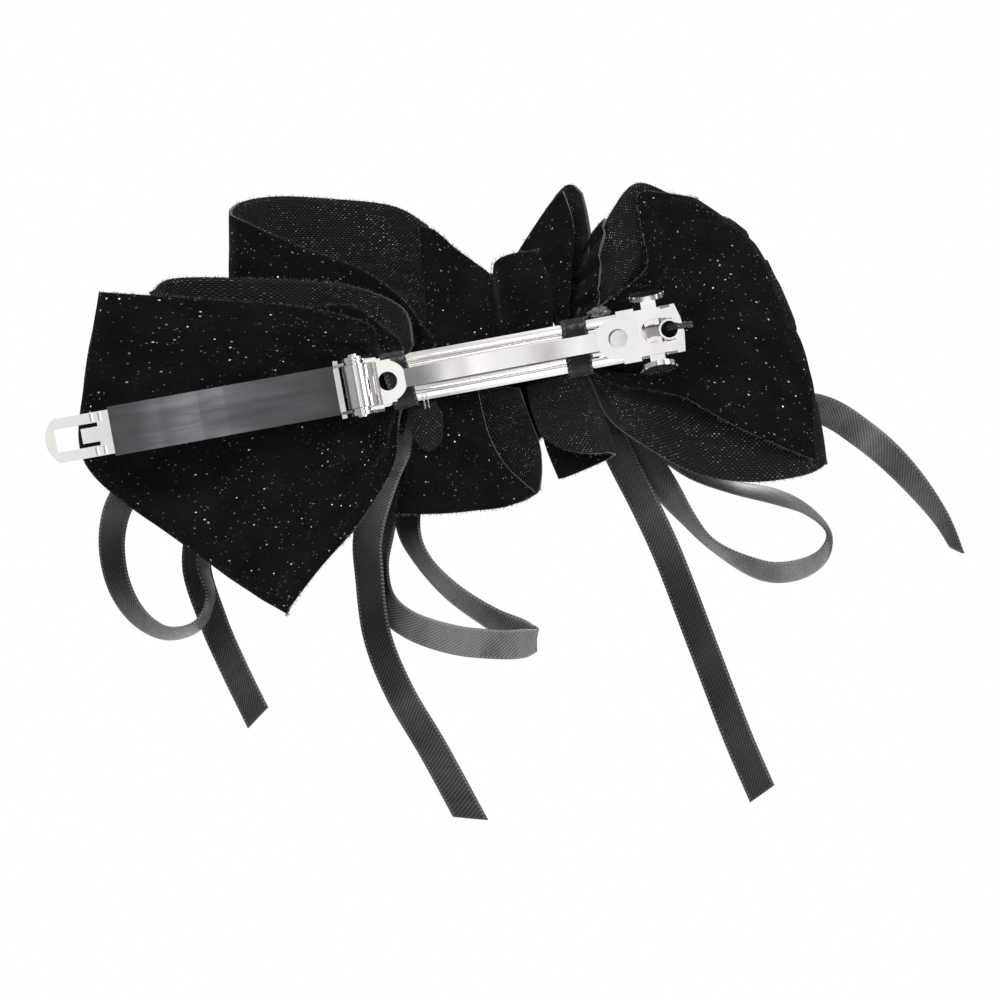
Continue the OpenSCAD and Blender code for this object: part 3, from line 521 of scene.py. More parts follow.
# %% The frayed edges
def fray(piece, nets, per_mm=4.5):
    def edit(bm):
        for net in nets:
            for edge, inner in ((0, 1), (-1, -2)):
                line = [row[edge] for row in net]
                for i in range(1, len(line) - 1):
                    step = line[i + 1] - line[i]
                    out = (net[i][edge] - net[i][inner]).normalized()
                    side = step.cross(out).normalized()
                    for _ in range(max(1, round(step.length * per_mm))):
                        lean = Vector((chance.gauss(0, 0.35), chance.gauss(0, 0.35),
                                       chance.gauss(0, 0.35)))
                        aim = (out + lean + side * chance.uniform(-0.5, 0.1)).normalized()
                        long = chance.uniform(0.25, 0.85)
                        at = line[i] + step * chance.random() - out * 0.15
                        at = at + side * chance.uniform(0.0, VELVET_THICK * 0.7)
                        turn = Vector((0, 0, 1)).rotation_difference(aim).to_matrix().to_4x4()
                        place = Matrix.Translation((at + aim * long / 2) * MM) @ turn
                        bmesh.ops.create_cone(bm, segments=3, radius1=0.055 * MM, radius2=0.012 * MM,
                                              depth=long * MM, matrix=place)

    fringe = new_piece(piece.name.replace("sewn_", "frayed_"), edit)
    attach(fringe, "root")
    return fringe


fringes = [fray(piece, nets) for piece, nets in velvet_nets.items()]
print("frayed edges", len(fringes), "faces", sum(len(f.data.polygons) for f in fringes))

# %% [markdown]
# ## Finishes
# Four patterns are used by more than one finish, so each is built once as a node group with named
# sockets: a soft grain, glitter specks, the loops of a knit, and the diagonal of a satin weave.
# A group only hands out masks and heights, and each material keeps its own shader.

# %% Small helpers for nodes
def node(tree, kind, **settings):
    made = tree.nodes.new(kind)
    for key, value in settings.items():
        if key in made.inputs:
            made.inputs[key].default_value = value
        else:
            setattr(made, key, value)
    return made


def sum_of(tree, kind, a, b=None, c=None, clamp=False):
    made = tree.nodes.new("ShaderNodeMath")
    made.operation = kind
    made.use_clamp = clamp
    for socket, value in zip(made.inputs, (a, b, c)):
        if value is None:
            continue
        if isinstance(value, (int, float)):
            socket.default_value = value
        else:
            tree.links.new(value, socket)
    return made.outputs[0]


def group(name, takes, gives):
    made = bpy.data.node_groups.new(name, "ShaderNodeTree")
    for key, kind, value in takes:
        socket = made.interface.new_socket(name=key, in_out="INPUT", socket_type=kind)
        if value is not None:
            socket.default_value = value
    for key, kind in gives:
        made.interface.new_socket(name=key, in_out="OUTPUT", socket_type=kind)
    return made, made.nodes.new("NodeGroupInput"), made.nodes.new("NodeGroupOutput")


def use(tree, made, **values):
    placed = tree.nodes.new("ShaderNodeGroup")
    placed.node_tree = made
    for key, value in values.items():
        key = key.replace("_", " ")
        if isinstance(value, bpy.types.NodeSocket):
            tree.links.new(value, placed.inputs[key])
        else:
            placed.inputs[key].default_value = value
    return placed


def cloth_place(tree):
    return tree.nodes.new("ShaderNodeUVMap").outputs["UV"]


def piece_place(tree):
    return tree.nodes.new("ShaderNodeTexCoord").outputs["Object"]


def drawn_out(tree, place, scale):
    mapping = node(tree, "ShaderNodeMapping")
    mapping.inputs["Scale"].default_value = scale
    tree.links.new(place, mapping.inputs["Vector"])
    return mapping.outputs["Vector"]


def between(tree, low, high, value=None, **settings):
    """A map range that runs from 0 at low to 1 at high."""
    made = node(tree, "ShaderNodeMapRange", **settings)
    made.inputs["From Min"].default_value = low
    made.inputs["From Max"].default_value = high
    if value is not None:
        tree.links.new(value, made.inputs["Value"])
    return made


VALUE = "NodeSocketFloat"
VECTOR = "NodeSocketVector"
WHOLE_TURN = 6.2832

# %% [markdown]
# Soft grain is cloudy noise stretched between two values that the finish chooses. Nap, haze,
# scuffs and chalk marks all start from it.

# %% Soft grain
grain, g_in, g_out = group("soft grain", [
    ("Place", VECTOR, None), ("Scale", VALUE, 1.0), ("Low", VALUE, 0.0), ("High", VALUE, 1.0)],
    [("Level", VALUE)])
cloud = node(grain, "ShaderNodeTexNoise", Detail=6.0, Roughness=0.6)
grain.links.new(g_in.outputs["Place"], cloud.inputs["Vector"])
grain.links.new(g_in.outputs["Scale"], cloud.inputs["Scale"])
level_map = between(grain, 0.3, 0.7, cloud.outputs["Fac"])
grain.links.new(g_in.outputs["Low"], level_map.inputs["To Min"])
grain.links.new(g_in.outputs["High"], level_map.inputs["To Max"])
grain.links.new(level_map.outputs["Result"], g_out.inputs["Level"])


def mottled(tree, place, scale, low=0.0, high=1.0):
    return use(tree, grain, Place=place, Scale=scale, Low=low, High=high).outputs["Level"]


print("grain sockets", [i.name for i in g_in.outputs if i.name])

# %% [markdown]
# The specks on the real cloth are foil dots stuck on at random. Cells of a Voronoi pattern give
# random places, a random number from each cell picks the few that hold a dot, and another one sets
# how brightly it shines.

# %% Glitter specks
glitter, g_in, g_out = group("glitter specks", [
    ("Place", VECTOR, None), ("Per mm", VALUE, 1.0), ("Share", VALUE, 0.1),
    ("Size", VALUE, 0.2)], [("Speck", VALUE)])
cells = node(glitter, "ShaderNodeTexVoronoi", voronoi_dimensions="2D")
glitter.links.new(g_in.outputs["Place"], cells.inputs["Vector"])
glitter.links.new(g_in.outputs["Per mm"], cells.inputs["Scale"])
tone = node(glitter, "ShaderNodeSeparateColor")
glitter.links.new(cells.outputs["Color"], tone.inputs["Color"])
near_centre = sum_of(glitter, "LESS_THAN", cells.outputs["Distance"], g_in.outputs["Size"])
chosen = sum_of(glitter, "LESS_THAN", tone.outputs["Red"], g_in.outputs["Share"])
bright = sum_of(glitter, "POWER", tone.outputs["Green"], 2.2)
speck = sum_of(glitter, "MULTIPLY", sum_of(glitter, "MULTIPLY", near_centre, chosen), bright)
glitter.links.new(speck, g_out.inputs["Speck"])
print("glitter sockets", [i.name for i in g_in.outputs if i.name])

# %% [markdown]
# The ground of the velvet is a fine knit. Its loops sit in rows, each row half a loop along from
# the last. One loop is a soft dot in its own small cell, and a few of them get a painted glint.

# %% Knitted loops
knit, g_in, g_out = group("knitted loops", [
    ("Place", VECTOR, None), ("Along mm", VALUE, 0.6), ("Across mm", VALUE, 0.5)],
    [("Loop", VALUE), ("Glint", VALUE)])
axes = node(knit, "ShaderNodeSeparateXYZ")
knit.links.new(g_in.outputs["Place"], axes.inputs[0])
row = sum_of(knit, "DIVIDE", axes.outputs["Y"], g_in.outputs["Across mm"])
row_number = sum_of(knit, "FLOOR", row)
stagger = sum_of(knit, "MULTIPLY", row_number, 0.5)
col = sum_of(knit, "DIVIDE", axes.outputs["X"], g_in.outputs["Along mm"])
du = sum_of(knit, "SUBTRACT", sum_of(knit, "FRACT", sum_of(knit, "ADD", col, stagger)), 0.5)
dv = sum_of(knit, "SUBTRACT", sum_of(knit, "FRACT", row), 0.5)
gap = sum_of(knit, "SQRT", sum_of(knit, "ADD", sum_of(knit, "MULTIPLY", du, du),
                                  sum_of(knit, "MULTIPLY", dv, dv)))
loop_map = between(knit, 0.46, 0.12, gap, interpolation_type="SMOOTHSTEP")
knit.links.new(loop_map.outputs["Result"], g_out.inputs["Loop"])
cell = node(knit, "ShaderNodeCombineXYZ")
knit.links.new(sum_of(knit, "FLOOR", sum_of(knit, "ADD", col, stagger)), cell.inputs["X"])
knit.links.new(row_number, cell.inputs["Y"])
luck = node(knit, "ShaderNodeTexWhiteNoise", noise_dimensions="2D")
knit.links.new(cell.outputs[0], luck.inputs["Vector"])
# Painted glint: a few tight loops, picked at random, get a glint value that a finish puts into its colour.
tight = sum_of(knit, "LESS_THAN", gap, 0.2)
knit.links.new(sum_of(knit, "MULTIPLY", tight, sum_of(knit, "POWER", luck.outputs["Value"], 5.0)),
               g_out.inputs["Glint"])
print("knit sockets", [i.name for i in g_in.outputs if i.name])

# %% [markdown]
# Satin ribbon shows fine diagonal lines, and its two woven edges carry a row of small dots. Both
# are a sine wave over the ribbon's own millimetres, and a mask marks the two edge bands.

# %% Satin weave
EDGE_BAND = RIBBON_WIDE / 2 - 0.55
weave, g_in, g_out = group("satin weave", [
    ("Place", VECTOR, None), ("Pitch mm", VALUE, 0.3), ("Slope", VALUE, 1.0)],
    [("Thread", VALUE), ("Edge", VALUE)])
axes = node(weave, "ShaderNodeSeparateXYZ")
weave.links.new(g_in.outputs["Place"], axes.inputs[0])
slant = sum_of(weave, "MULTIPLY_ADD", axes.outputs["Y"], g_in.outputs["Slope"], axes.outputs["X"])
wave = sum_of(weave, "MULTIPLY", sum_of(weave, "DIVIDE", slant, g_in.outputs["Pitch mm"]),
              WHOLE_TURN)
weave.links.new(sum_of(weave, "MULTIPLY_ADD", sum_of(weave, "SINE", wave), 0.5, 0.5),
                g_out.inputs["Thread"])
side = sum_of(weave, "ABSOLUTE", axes.outputs["Y"])
weave.links.new(sum_of(weave, "GREATER_THAN", side, EDGE_BAND), g_out.inputs["Edge"])
print("node groups", [g.name for g in bpy.data.node_groups])

# %% [markdown]
# Every finish starts from one shader and adds its own pattern. These helpers make the shader, mix
# two colours by a mask, fill a ramp with greys and raise a relief.

# %% Start of a finish
def finish(name, colour, rough, metal=0.0, **plain):
    made = bpy.data.materials.new(name)
    made.use_nodes = True
    tree = made.node_tree
    shader = tree.nodes["Principled BSDF"]
    shader.inputs["Base Color"].default_value = (*colour, 1)
    shader.inputs["Roughness"].default_value = rough
    shader.inputs["Metallic"].default_value = metal
    for key, value in plain.items():
        shader.inputs[key.replace("_", " ")].default_value = value
    return made, tree, shader


def two_tones(tree, mask, dark, light, socket):
    """Mix from dark to light by the mask. Either end may be a colour or another mix."""
    blend = node(tree, "ShaderNodeMix", data_type="RGBA")
    for end, colour in ((blend.inputs[6], dark), (blend.inputs[7], light)):
        if isinstance(colour, bpy.types.NodeSocket):
            tree.links.new(colour, end)
        else:
            end.default_value = (*colour, 1)
    tree.links.new(mask, blend.inputs[0])
    if socket:
        tree.links.new(blend.outputs[2], socket)
    return blend.outputs[2]


def greys(made, stops):
    ends = made.color_ramp.elements
    ends[0].position, ends[1].position = stops[0][0], stops[-1][0]
    ends[0].color = (stops[0][1],) * 3 + (1,)
    ends[1].color = (stops[-1][1],) * 3 + (1,)
    for place, grey in stops[1:-1]:
        ends.new(place).color = (grey,) * 3 + (1,)


def relief(tree, shader, height, strength, depth_mm):
    bump = node(tree, "ShaderNodeBump", Strength=strength, Distance=depth_mm * MM)
    tree.links.new(height, bump.inputs["Height"])
    tree.links.new(bump.outputs["Normal"], shader.inputs["Normal"])


# %% [markdown]
# Velvet is cut pile. It drinks nearly all the light that meets it head on and gives a grey bloom
# at a glancing angle, which is what the sheen of the shader does. Its specks are small flakes of
# foil, so they are bright and smooth.

# %% Velvet pile
velvet, tree, shader = finish("black velvet pile", (0.004, 0.004, 0.005), 0.95,
                              Sheen_Weight=0.07, Sheen_Roughness=0.35, Specular_IOR_Level=0.06)
shader.inputs["Sheen Tint"].default_value = (0.75, 0.76, 0.8, 1)
cloth = cloth_place(tree)
fine = mottled(tree, cloth, 2.6)
big = use(tree, glitter, Place=cloth, Per_mm=0.8, Share=0.09, Size=0.13).outputs["Speck"]
small = use(tree, glitter, Place=cloth, Per_mm=1.7, Share=0.10, Size=0.2).outputs["Speck"]
specks = sum_of(tree, "MAXIMUM", big, sum_of(tree, "MULTIPLY", small, 0.22))
brushed = mottled(tree, cloth, 0.12)
nap = sum_of(tree, "MULTIPLY", fine, sum_of(tree, "MULTIPLY_ADD", brushed, 0.7, 0.12))
pile = two_tones(tree, nap, (0.0014, 0.0014, 0.0016), (0.014, 0.014, 0.015), None)
two_tones(tree, specks, pile, (0.9, 0.92, 0.95), shader.inputs["Base Color"])
is_speck = sum_of(tree, "GREATER_THAN", specks, 0.05)
tree.links.new(sum_of(tree, "MULTIPLY_ADD", is_speck, -0.6, 0.95), shader.inputs["Roughness"])
relief(tree, shader, fine, 0.7, 0.25)

print("velvet nodes", len(tree.nodes))

# %% [markdown]
# The back of the cloth is a shiny knit, so it has a lighter loop on a dark ground, and clusters of
# loops with a painted glint: their colour is made bright where they would catch the light.

# %% Knitted back
knitted, tree, shader = finish("knitted velvet back", (0.02, 0.02, 0.022), 0.5,
                               Sheen_Weight=0.05, Sheen_Roughness=0.4, Specular_IOR_Level=0.12)
cloth = cloth_place(tree)
stitches = use(tree, knit, Place=cloth, Along_mm=0.6, Across_mm=0.48)
loops = stitches.outputs["Loop"]
patchy = mottled(tree, cloth, 0.5, 0.45, 1.0)
clusters = mottled(tree, cloth, 0.16, -0.5, 1.1)
# Painted glint: a few loops in cloudy clusters get a bright base colour.
glints = sum_of(tree, "MULTIPLY", stitches.outputs["Glint"],
                sum_of(tree, "MAXIMUM", clusters, 0.06))
# The colour mixes the knit loops with the painted glints.
loops_and_painted_glints = sum_of(tree, "MULTIPLY_ADD", sum_of(tree, "MULTIPLY", loops, patchy), 0.05, glints,
               clamp=True)
two_tones(tree, loops_and_painted_glints, (0.0012, 0.0012, 0.0014), (0.5, 0.5, 0.52), shader.inputs["Base Color"])
tree.links.new(sum_of(tree, "MULTIPLY_ADD", loops, -0.25, 0.6), shader.inputs["Roughness"])
relief(tree, shader, loops, 0.8, 0.2)

print("knit nodes", len(tree.nodes))

# %% [markdown]
# A cut edge shows the ends of pile and ground together, so it is greyer than either face.

# %% Raw edge
raw_edge, tree, shader = finish("raw velvet edge", (0.05, 0.05, 0.052), 0.9,
                                Sheen_Weight=0.35, Sheen_Roughness=0.4)
cloth = cloth_place(tree)
tufts = mottled(tree, cloth, 3.4)
two_tones(tree, tufts, (0.006, 0.006, 0.007), (0.09, 0.09, 0.094), shader.inputs["Base Color"])
relief(tree, shader, tufts, 0.8, 0.3)

print("edge nodes", len(tree.nodes))

# %% [markdown]
# Satin shines along its threads. That sheen is painted into the colour: a stretch of ribbon that
# lies level is painted grey, as if it caught the broad light, and a stretch that hangs stays dark,
# so each strip carries how level it lies, and the finish reads it. Long soft patches break the
# painted sheen up, and a painted sheen also lightens the ribbon where it turns away from the view.

# %% Satin
satin, tree, shader = finish("black satin ribbon", (0.012, 0.012, 0.013), 0.34,
                             Specular_IOR_Level=0.22, Anisotropic=0.5)
cloth = cloth_place(tree)
woven = use(tree, weave, Place=cloth, Pitch_mm=0.8, Slope=-1.1)
dots = use(tree, weave, Place=cloth, Pitch_mm=0.8, Slope=0.2)
streak = mottled(tree, cloth, 0.35, 0.22, 0.38)
picot = sum_of(tree, "MULTIPLY", woven.outputs["Edge"],
               sum_of(tree, "POWER", dots.outputs["Thread"], 2.0))
# Painted sheen: the colour is lightened where the ribbon turns away from the view.
turned_away = node(tree, "ShaderNodeLayerWeight", Blend=0.4).outputs["Facing"]
painted_grazing_sheen = sum_of(tree, "POWER", turned_away, 1.4)
# Painted sheen: soft patches along the ribbon where the painted sheen is stronger.
painted_sheen_patches = mottled(tree, drawn_out(tree, cloth, (0.045, 0.02, 1)), 1.0)
# Painted sheen: stretches that lie level get a lighter base colour, as if they caught the broad light.
level = node(tree, "ShaderNodeAttribute", attribute_name="lies level").outputs["Fac"]
painted_sheen_where_level = sum_of(tree, "POWER", level, 1.5)
patchy_painted_sheen = sum_of(tree, "MULTIPLY_ADD", painted_sheen_patches, 1.7, -0.1)
painted_satin_sheen = sum_of(tree, "MULTIPLY_ADD", painted_grazing_sheen, 0.3,
               sum_of(tree, "MULTIPLY", sum_of(tree, "MULTIPLY", painted_sheen_where_level, patchy_painted_sheen), 0.85))
# The weave's lines show more strongly where the painted sheen is.
threads = sum_of(tree, "MULTIPLY", sum_of(tree, "POWER", woven.outputs["Thread"], 1.5),
                 sum_of(tree, "MULTIPLY_ADD", painted_satin_sheen, 0.8, 0.12))
# The base colour mixes the painted sheen with the weave and the picot dots.
weave_and_painted_sheen = sum_of(tree, "ADD", sum_of(tree, "MULTIPLY_ADD", painted_satin_sheen, 0.85, threads),
             sum_of(tree, "MULTIPLY", picot, 0.5), clamp=True)
two_tones(tree, weave_and_painted_sheen, (0.0012, 0.0012, 0.0014), (0.17, 0.165, 0.175), shader.inputs["Base Color"])
tree.links.new(streak, shader.inputs["Roughness"])
relief(tree, shader, woven.outputs["Thread"], 0.35, 0.06)
print("satin nodes", len(tree.nodes))

# %% [markdown]
# The sheets carry three finishes, one for each face and one for the cut edge. The fringe is the
# pile's own ends, some dark and some grey.

# %% Dress the cloth
for piece in velvet_nets:
    for made in (velvet, knitted, raw_edge):
        piece.data.materials.append(made)
for piece in ribbons.values():
    piece.data.materials.append(satin)

pile_ends, tree, shader = finish("frayed pile ends", (0.03, 0.03, 0.032), 0.8,
                                 Sheen_Weight=0.2, Sheen_Roughness=0.4, Specular_IOR_Level=0.2)
spot = piece_place(tree)
mixed = mottled(tree, spot, 2200.0)
two_tones(tree, mixed, (0.004, 0.004, 0.0045), (0.14, 0.14, 0.145), shader.inputs["Base Color"])
for fringe in fringes:
    fringe.data.materials.append(pile_ends)

# %% [markdown]
# The clip is nickel plated and pressed, so it is a mirror with faint draw marks and handling
# haze.

# %% Nickel
nickel, tree, shader = finish("polished nickel", (0.79, 0.77, 0.735), 0.14, metal=1.0)
spot = piece_place(tree)
haze = mottled(tree, spot, 140.0, 0.07, 0.16)
tree.links.new(haze, shader.inputs["Roughness"])
marks = mottled(tree, drawn_out(tree, spot, (60, 900, 900)), 1.0)
relief(tree, shader, marks, 0.03, 0.012)
tone = mottled(tree, spot, 60.0)
two_tones(tree, tone, (0.80, 0.78, 0.745), (0.88, 0.865, 0.835), shader.inputs["Base Color"])

print("nickel nodes", len(tree.nodes))

# %% [markdown]
# The sleeve is a matt rubber tube. A painted highlight lies along it as lighter and darker bands,
# and a few lighter scuffs run lengthwise.

# %% Rubber
SLEEVE_FROM = -0.0815
SLEEVE_TO = -0.036
rubber, tree, shader = finish("black rubber sleeve", (0.02, 0.02, 0.022), 0.42,
                              Specular_IOR_Level=0.55)
spot = piece_place(tree)
scuffs = mottled(tree, drawn_out(tree, spot, (30, 420, 420)), 1.0)
tiny = mottled(tree, spot, 1800.0)
ends = node(tree, "ShaderNodeSeparateXYZ")
tree.links.new(spot, ends.inputs[0])
along_sleeve = between(tree, SLEEVE_FROM, SLEEVE_TO, ends.outputs["X"])
# Painted highlight: a ramp of greys along the sleeve lightens its colour in bands, where its curve would
# catch the light.
painted_highlight_band = node(tree, "ShaderNodeValToRGB")
greys(painted_highlight_band, [(0.0, 0.12), (0.12, 0.22), (0.20, 0.62), (0.24, 0.5), (0.34, 0.95), (0.39, 0.9),
              (0.40, 0.62), (0.50, 0.66), (0.52, 0.5), (0.66, 0.3), (1.0, 0.16)])
tree.links.new(along_sleeve.outputs["Result"], painted_highlight_band.inputs["Fac"])
rubbed = sum_of(tree, "MULTIPLY_ADD", sum_of(tree, "POWER", scuffs, 1.6), 0.7, 0.4)
# The painted highlight is broken up by the scuffs.
scuffed_painted_highlight = sum_of(tree, "MULTIPLY", painted_highlight_band.outputs["Color"], rubbed, clamp=True)
two_tones(tree, scuffed_painted_highlight, (0.012, 0.012, 0.015), (0.19, 0.19, 0.208), shader.inputs["Base Color"])
tree.links.new(sum_of(tree, "MULTIPLY_ADD", scuffs, 0.22, 0.34),
               shader.inputs["Roughness"])
relief(tree, shader, tiny, 0.2, 0.03)

print("rubber nodes", len(tree.nodes))

# %% [markdown]
# The last finishes are small: twisted black thread, clear nylon and glue that has picked up black
# fluff. The hard pieces then get their metal, rubber and nylon.

# %% Thread, nylon and glue finishes
thread, tree, shader = finish("black thread", (0.01, 0.01, 0.011), 0.6, Sheen_Weight=0.2)
spot = piece_place(tree)
twist = mottled(tree, spot, 2600.0)
two_tones(tree, twist, (0.006, 0.006, 0.007), (0.03, 0.03, 0.032), shader.inputs["Base Color"])
relief(tree, shader, twist, 0.5, 0.05)

nylon, tree, shader = finish("clear nylon", (0.9, 0.92, 0.95), 0.15, Transmission_Weight=0.85,
                             IOR=1.5)
spot = piece_place(tree)
drawn = mottled(tree, spot, 900.0, 0.1, 0.3)
tree.links.new(drawn, shader.inputs["Roughness"])

glue, tree, shader = finish("set glue", (0.03, 0.03, 0.032), 0.2, Specular_IOR_Level=0.6,
                            Coat_Weight=0.4)
spot = piece_place(tree)
lumps = mottled(tree, spot, 700.0)
two_tones(tree, lumps, (0.012, 0.012, 0.013), (0.14, 0.14, 0.145), shader.inputs["Base Color"])
relief(tree, shader, lumps, 0.6, 0.3)


def dress(piece, made):
    piece.data.materials.clear()
    piece.data.materials.append(made)


for name in ("base_plate", "hinge_pin", "clasp_arm", "tension_strip", "catch_frame",
             "upper_squeeze_button", "lower_squeeze_button"):
    dress(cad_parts[name], nickel)
dress(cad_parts["arm_sleeve"], rubber)
dress(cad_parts["nylon_stitches"], nylon)
print("finishes", len(bpy.data.materials))

# %% [markdown]
# ## Ties and knots
# The same ribbon is wound twice round the plate and the gathered velvet at each tie, and knotted
# on the outside. A wrap is a ribbon whose line goes round a rounded box, a little further along at
# each turn, so the second turn lies beside and on the first.

# %% Wrap the ties
ONE_WRAP = 34


def wrap(name, x, low_y, high_y, half_z, lean):
    turns = 2
    count = 150

    def edit(bm):
        uv_layer = bm.loops.layers.uv.new("cloth")
        bmesh.ops.create_grid(bm, x_segments=count - 1, y_segments=8, size=1)
        mid_y = (low_y + high_y) / 2
        half_y = (high_y - low_y) / 2
        spots = {}
        for v in bm.verts:
            i = (v.co.x + 1) / 2
            s = v.co.y
            spots[v] = (i * turns * ONE_WRAP, s * RIBBON_WIDE / 2)
            angle = (i * turns + 0.25) * 2 * math.pi
            c, d = math.cos(angle), math.sin(angle)
            square = (abs(c) ** 5 + abs(d) ** 5) ** (-1 / 5)
            grow = 1 + 0.02 * i * turns
            crease = 0.08 * math.sin(s * 7 + 3 * math.sin(angle * 1.5))
            pinch = 1 - 0.10 * abs(math.sin(angle * 2))
            y = mid_y + (half_y * grow + crease) * c * square
            z = (half_z * grow + crease) * d * square
            shift = (i - 0.5) * 0.7 + lean * z / half_z
            v.co = Vector((x + shift + s * RIBBON_WIDE / 2 * pinch * 0.86, y, z)) * MM
        for face in bm.faces:
            for loop in face.loops:
                loop[uv_layer].uv = spots[loop.vert]

    piece = new_piece("wound_" + name, edit)
    wall(piece, 0.25)
    piece.data.materials.append(satin)
    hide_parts(name)
    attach(piece, "root")
    return piece


def knot(name, x, y, z, wide, deep, tall, seed):
    def edit(bm):
        uv_layer = bm.loops.layers.uv.new("cloth")
        bmesh.ops.create_uvsphere(bm, u_segments=40, v_segments=24, radius=1)
        for v in bm.verts:
            n = v.co.normalized()
            around = math.atan2(n.z, n.x)
            fold = 0.07 * math.sin(3 * around + 2 * n.y + seed) + 0.05 * math.sin(n.x * 9 + seed)
            waist = 1 - 0.12 * math.exp(-(n.x * 3) ** 2)
            r = 1 + fold
            v.co = (Vector((x, y, z)) + Vector((n.x * wide * r, n.y * deep * r,
                                                n.z * tall * r * waist))) * MM
        for face in bm.faces:
            for loop in face.loops:
                p = loop.vert.co / MM
                loop[uv_layer].uv = (p.z - z, (p.x - x) * 0.6)

    piece = new_piece("tied_" + name, edit)
    piece.data.materials.append(satin)
    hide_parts(name)
    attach(piece, "root")
    return piece


wrap("left_tie_band", -23.5, -0.5, 12.8, 5.6, -0.5)
wrap("right_tie_band", 12.7, 0.6, 12.8, 5.6, 0.2)
knot("left_knot", -23.5, 14.9, -1, 3.5, 1.9, 3.8, 0.4)
knot("right_knot", 12.7, 14.9, -1, 3.5, 1.9, 3.8, 1.9)

# %% [markdown]
# ## Thread, nylon and glue
# A few strands of black thread run out of the end hole and over the end of the plate. They are
# round lines, so each is a curve with a round section. The glue is a lump that flowed before it
# set, so it starts as a ball and is pushed about by noise.

# %% Thread and glue
def strand(name, points, radius):
    line = bpy.data.curves.new(name, "CURVE")
    line.dimensions = "3D"
    line.bevel_depth = radius * MM
    line.bevel_resolution = 3
    run = line.splines.new("POLY")
    dots = smooth(points, 24)
    run.points.add(len(dots) - 1)
    for dot, p in zip(run.points, dots):
        dot.co = (p[0] * MM, p[1] * MM, p[2] * MM, 1)
    made = bpy.data.objects.new(name, line)
    bpy.context.collection.objects.link(made)
    line.materials.append(thread)
    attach(made, "root")
    return made


strands = [
    strand("thread_strand_1", [(31, 1.4, 0.6), (32, -0.6, 0.5), (33.6, -1.9, 0.5),
                               (35.2, -1.5, 0.6), (36, 0.4, 0.6), (35.4, 2.4, 0.7)], 0.22),
    strand("thread_strand_2", [(31.2, 1.4, 0), (32.2, -0.8, 0), (33.8, -2.1, -0.1),
                               (35.4, -1.6, -0.2), (36.1, 0.3, -0.2), (35.5, 2.4, -0.2)], 0.2),
    strand("thread_strand_3", [(31.4, 1.4, 0.9), (32.6, -0.9, 1), (34, -2.2, 0.3),
                               (35.3, -1.8, 0.1), (36, 0.1, 0.2), (35.2, 2.4, 0.3)], 0.16)]
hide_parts("end_thread")

beads = [(-20.6, 2.4, 6), (-9.2, 2.4, 6), (6.6, 2.6, 5.8), (18.2, 3, 6)]


def blobs(bm):
    for k, (x, y, z) in enumerate(beads):
        old = set(bm.verts)
        bmesh.ops.create_icosphere(bm, subdivisions=4, radius=1)
        for v in bm.verts:
            if v in old:
                continue
            n = v.co.normalized()
            lump = 1 + 0.5 * noise.noise(n * 1.6 + Vector((k * 7, 0, 0)))
            lump += 0.14 * noise.noise(n * 5 + Vector((k * 3, 0, 0)))
            v.co = (Vector((x, y, z)) + Vector((n.x * 2.2, n.y * 1.2, n.z * 1.1)) * lump) * MM


glue_blobs = new_piece("set_glue_beads", blobs)
glue_blobs.data.materials.append(glue)
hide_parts("glue_beads")
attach(glue_blobs, "root")
print("ties, knots, thread and glue are made")

# %% [markdown]
# ## Light and floor
# Polished metal only shows what is round it, so the white room has soft grey bands from floor to
# ceiling and from side to side for it to mirror. Straight into the camera the room is plain white.

# %% The room
world = bpy.data.worlds.new("studio")
bpy.context.scene.world = world
world.use_nodes = True
sky = world.node_tree
sky.nodes.clear()
way = node(sky, "ShaderNodeTexCoord")
split = node(sky, "ShaderNodeSeparateXYZ")
sky.links.new(way.outputs["Generated"], split.inputs[0])


def bands(axis, stops):
    """Greys from one side of the room to the other along an axis."""
    ramp = node(sky, "ShaderNodeValToRGB")
    greys(ramp, stops)
    sky.links.new(sum_of(sky, "MULTIPLY_ADD", split.outputs[axis], 0.5, 0.5), ramp.inputs["Fac"])
    return ramp.outputs["Color"]


height = bands("Z", [(0.0, 0.25), (0.30, 0.5), (0.42, 0.3), (0.50, 0.95), (0.62, 0.8),
                     (0.75, 1.0), (1.0, 0.8)])
panels = bands("X", [
    (0.28, 0.5), (0.36, 0.28), (0.405, 0.34), (0.425, 1.4), (0.45, 0.9), (0.465, 1.6),
    (0.50, 1.2), (0.535, 1.3), (0.545, 0.98), (0.562, 0.9), (0.575, 0.45), (0.60, 1.5),
    (0.66, 0.9), (0.72, 0.5)])
room = node(sky, "ShaderNodeBackground", Strength=0.9)
plain = node(sky, "ShaderNodeBackground", Strength=1.0)
plain.inputs["Color"].default_value = (1, 1, 1, 1)
seen = node(sky, "ShaderNodeLightPath")
mix = node(sky, "ShaderNodeMixShader")
sky_out = node(sky, "ShaderNodeOutputWorld")
lit_room = node(sky, "ShaderNodeVectorMath", operation="MULTIPLY")
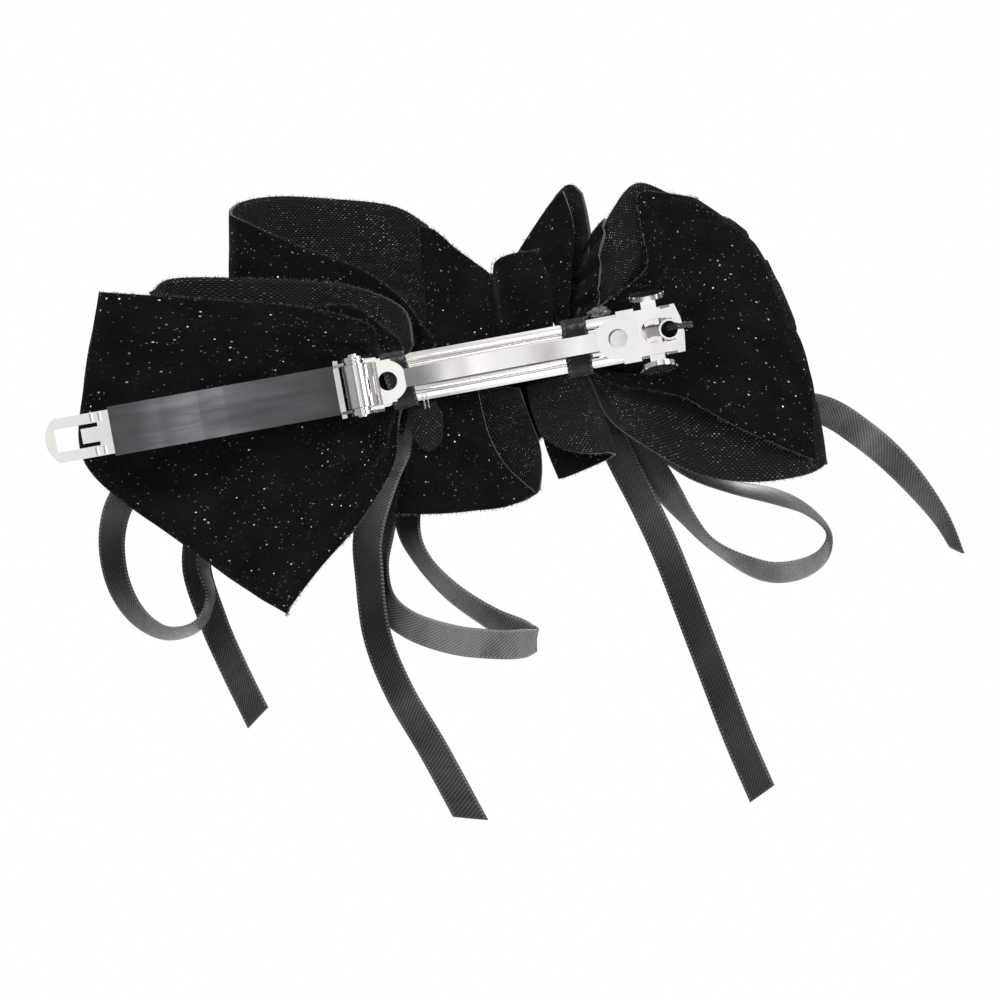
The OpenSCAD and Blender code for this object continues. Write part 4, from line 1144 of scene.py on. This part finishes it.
sky.links.new(height, lit_room.inputs[0])
sky.links.new(panels, lit_room.inputs[1])
sky.links.new(lit_room.outputs[0], room.inputs["Color"])
sky.links.new(seen.outputs["Is Camera Ray"], mix.inputs["Fac"])
sky.links.new(room.outputs[0], mix.inputs[1])
sky.links.new(plain.outputs[0], mix.inputs[2])
sky.links.new(mix.outputs[0], sky_out.inputs["Surface"])


print("room nodes", len(sky.nodes))

# %% [markdown]
# Three broad soft lights stand above, to the right and behind, so that no fold is lost. The floor
# is plain and pale and lies well below the hanging ribbons.

# %% Lights and floor
FLOOR_RADIUS = 0.78
FLOOR_LEVEL = -0.3


def soft_light(name, at, aim, wide, tall, power):
    lamp = bpy.data.lights.new(name, "AREA")
    lamp.shape = "RECTANGLE"
    lamp.size = wide
    lamp.size_y = tall
    lamp.energy = power
    thing = bpy.data.objects.new(name, lamp)
    thing.location = at
    thing.rotation_mode = "QUATERNION"
    thing.rotation_quaternion = (Vector(aim) - Vector(at)).to_track_quat("-Z", "Y")
    bpy.context.collection.objects.link(thing)


soft_light("key light", (-0.25, -0.7, 0.75), (0, 0, 0), 0.6, 0.4, 8)
soft_light("fill light", (0.8, -0.5, 0.1), (0, 0, 0), 0.4, 0.7, 4)
soft_light("back light", (0.1, 0.7, 0.6), (0, 0, 0), 0.7, 0.4, 7)
bpy.context.scene.view_settings.view_transform = "Standard"

bm = bmesh.new()
bmesh.ops.create_circle(bm, cap_ends=True, segments=96, radius=FLOOR_RADIUS)
bmesh.ops.translate(bm, verts=bm.verts, vec=(0, 0, FLOOR_LEVEL))
floor_mesh = bpy.data.meshes.new("floor")
bm.to_mesh(floor_mesh)
bm.free()
floor = bpy.data.objects.new("floor", floor_mesh)
floor_finish, tree, shader = finish("pale floor", (0.93, 0.93, 0.93), 0.8)
spot = piece_place(tree)
mottle = mottled(tree, spot, 4.0, 0.75, 0.85)
tree.links.new(mottle, shader.inputs["Roughness"])
floor_mesh.materials.append(floor_finish)
bpy.context.collection.objects.link(floor)
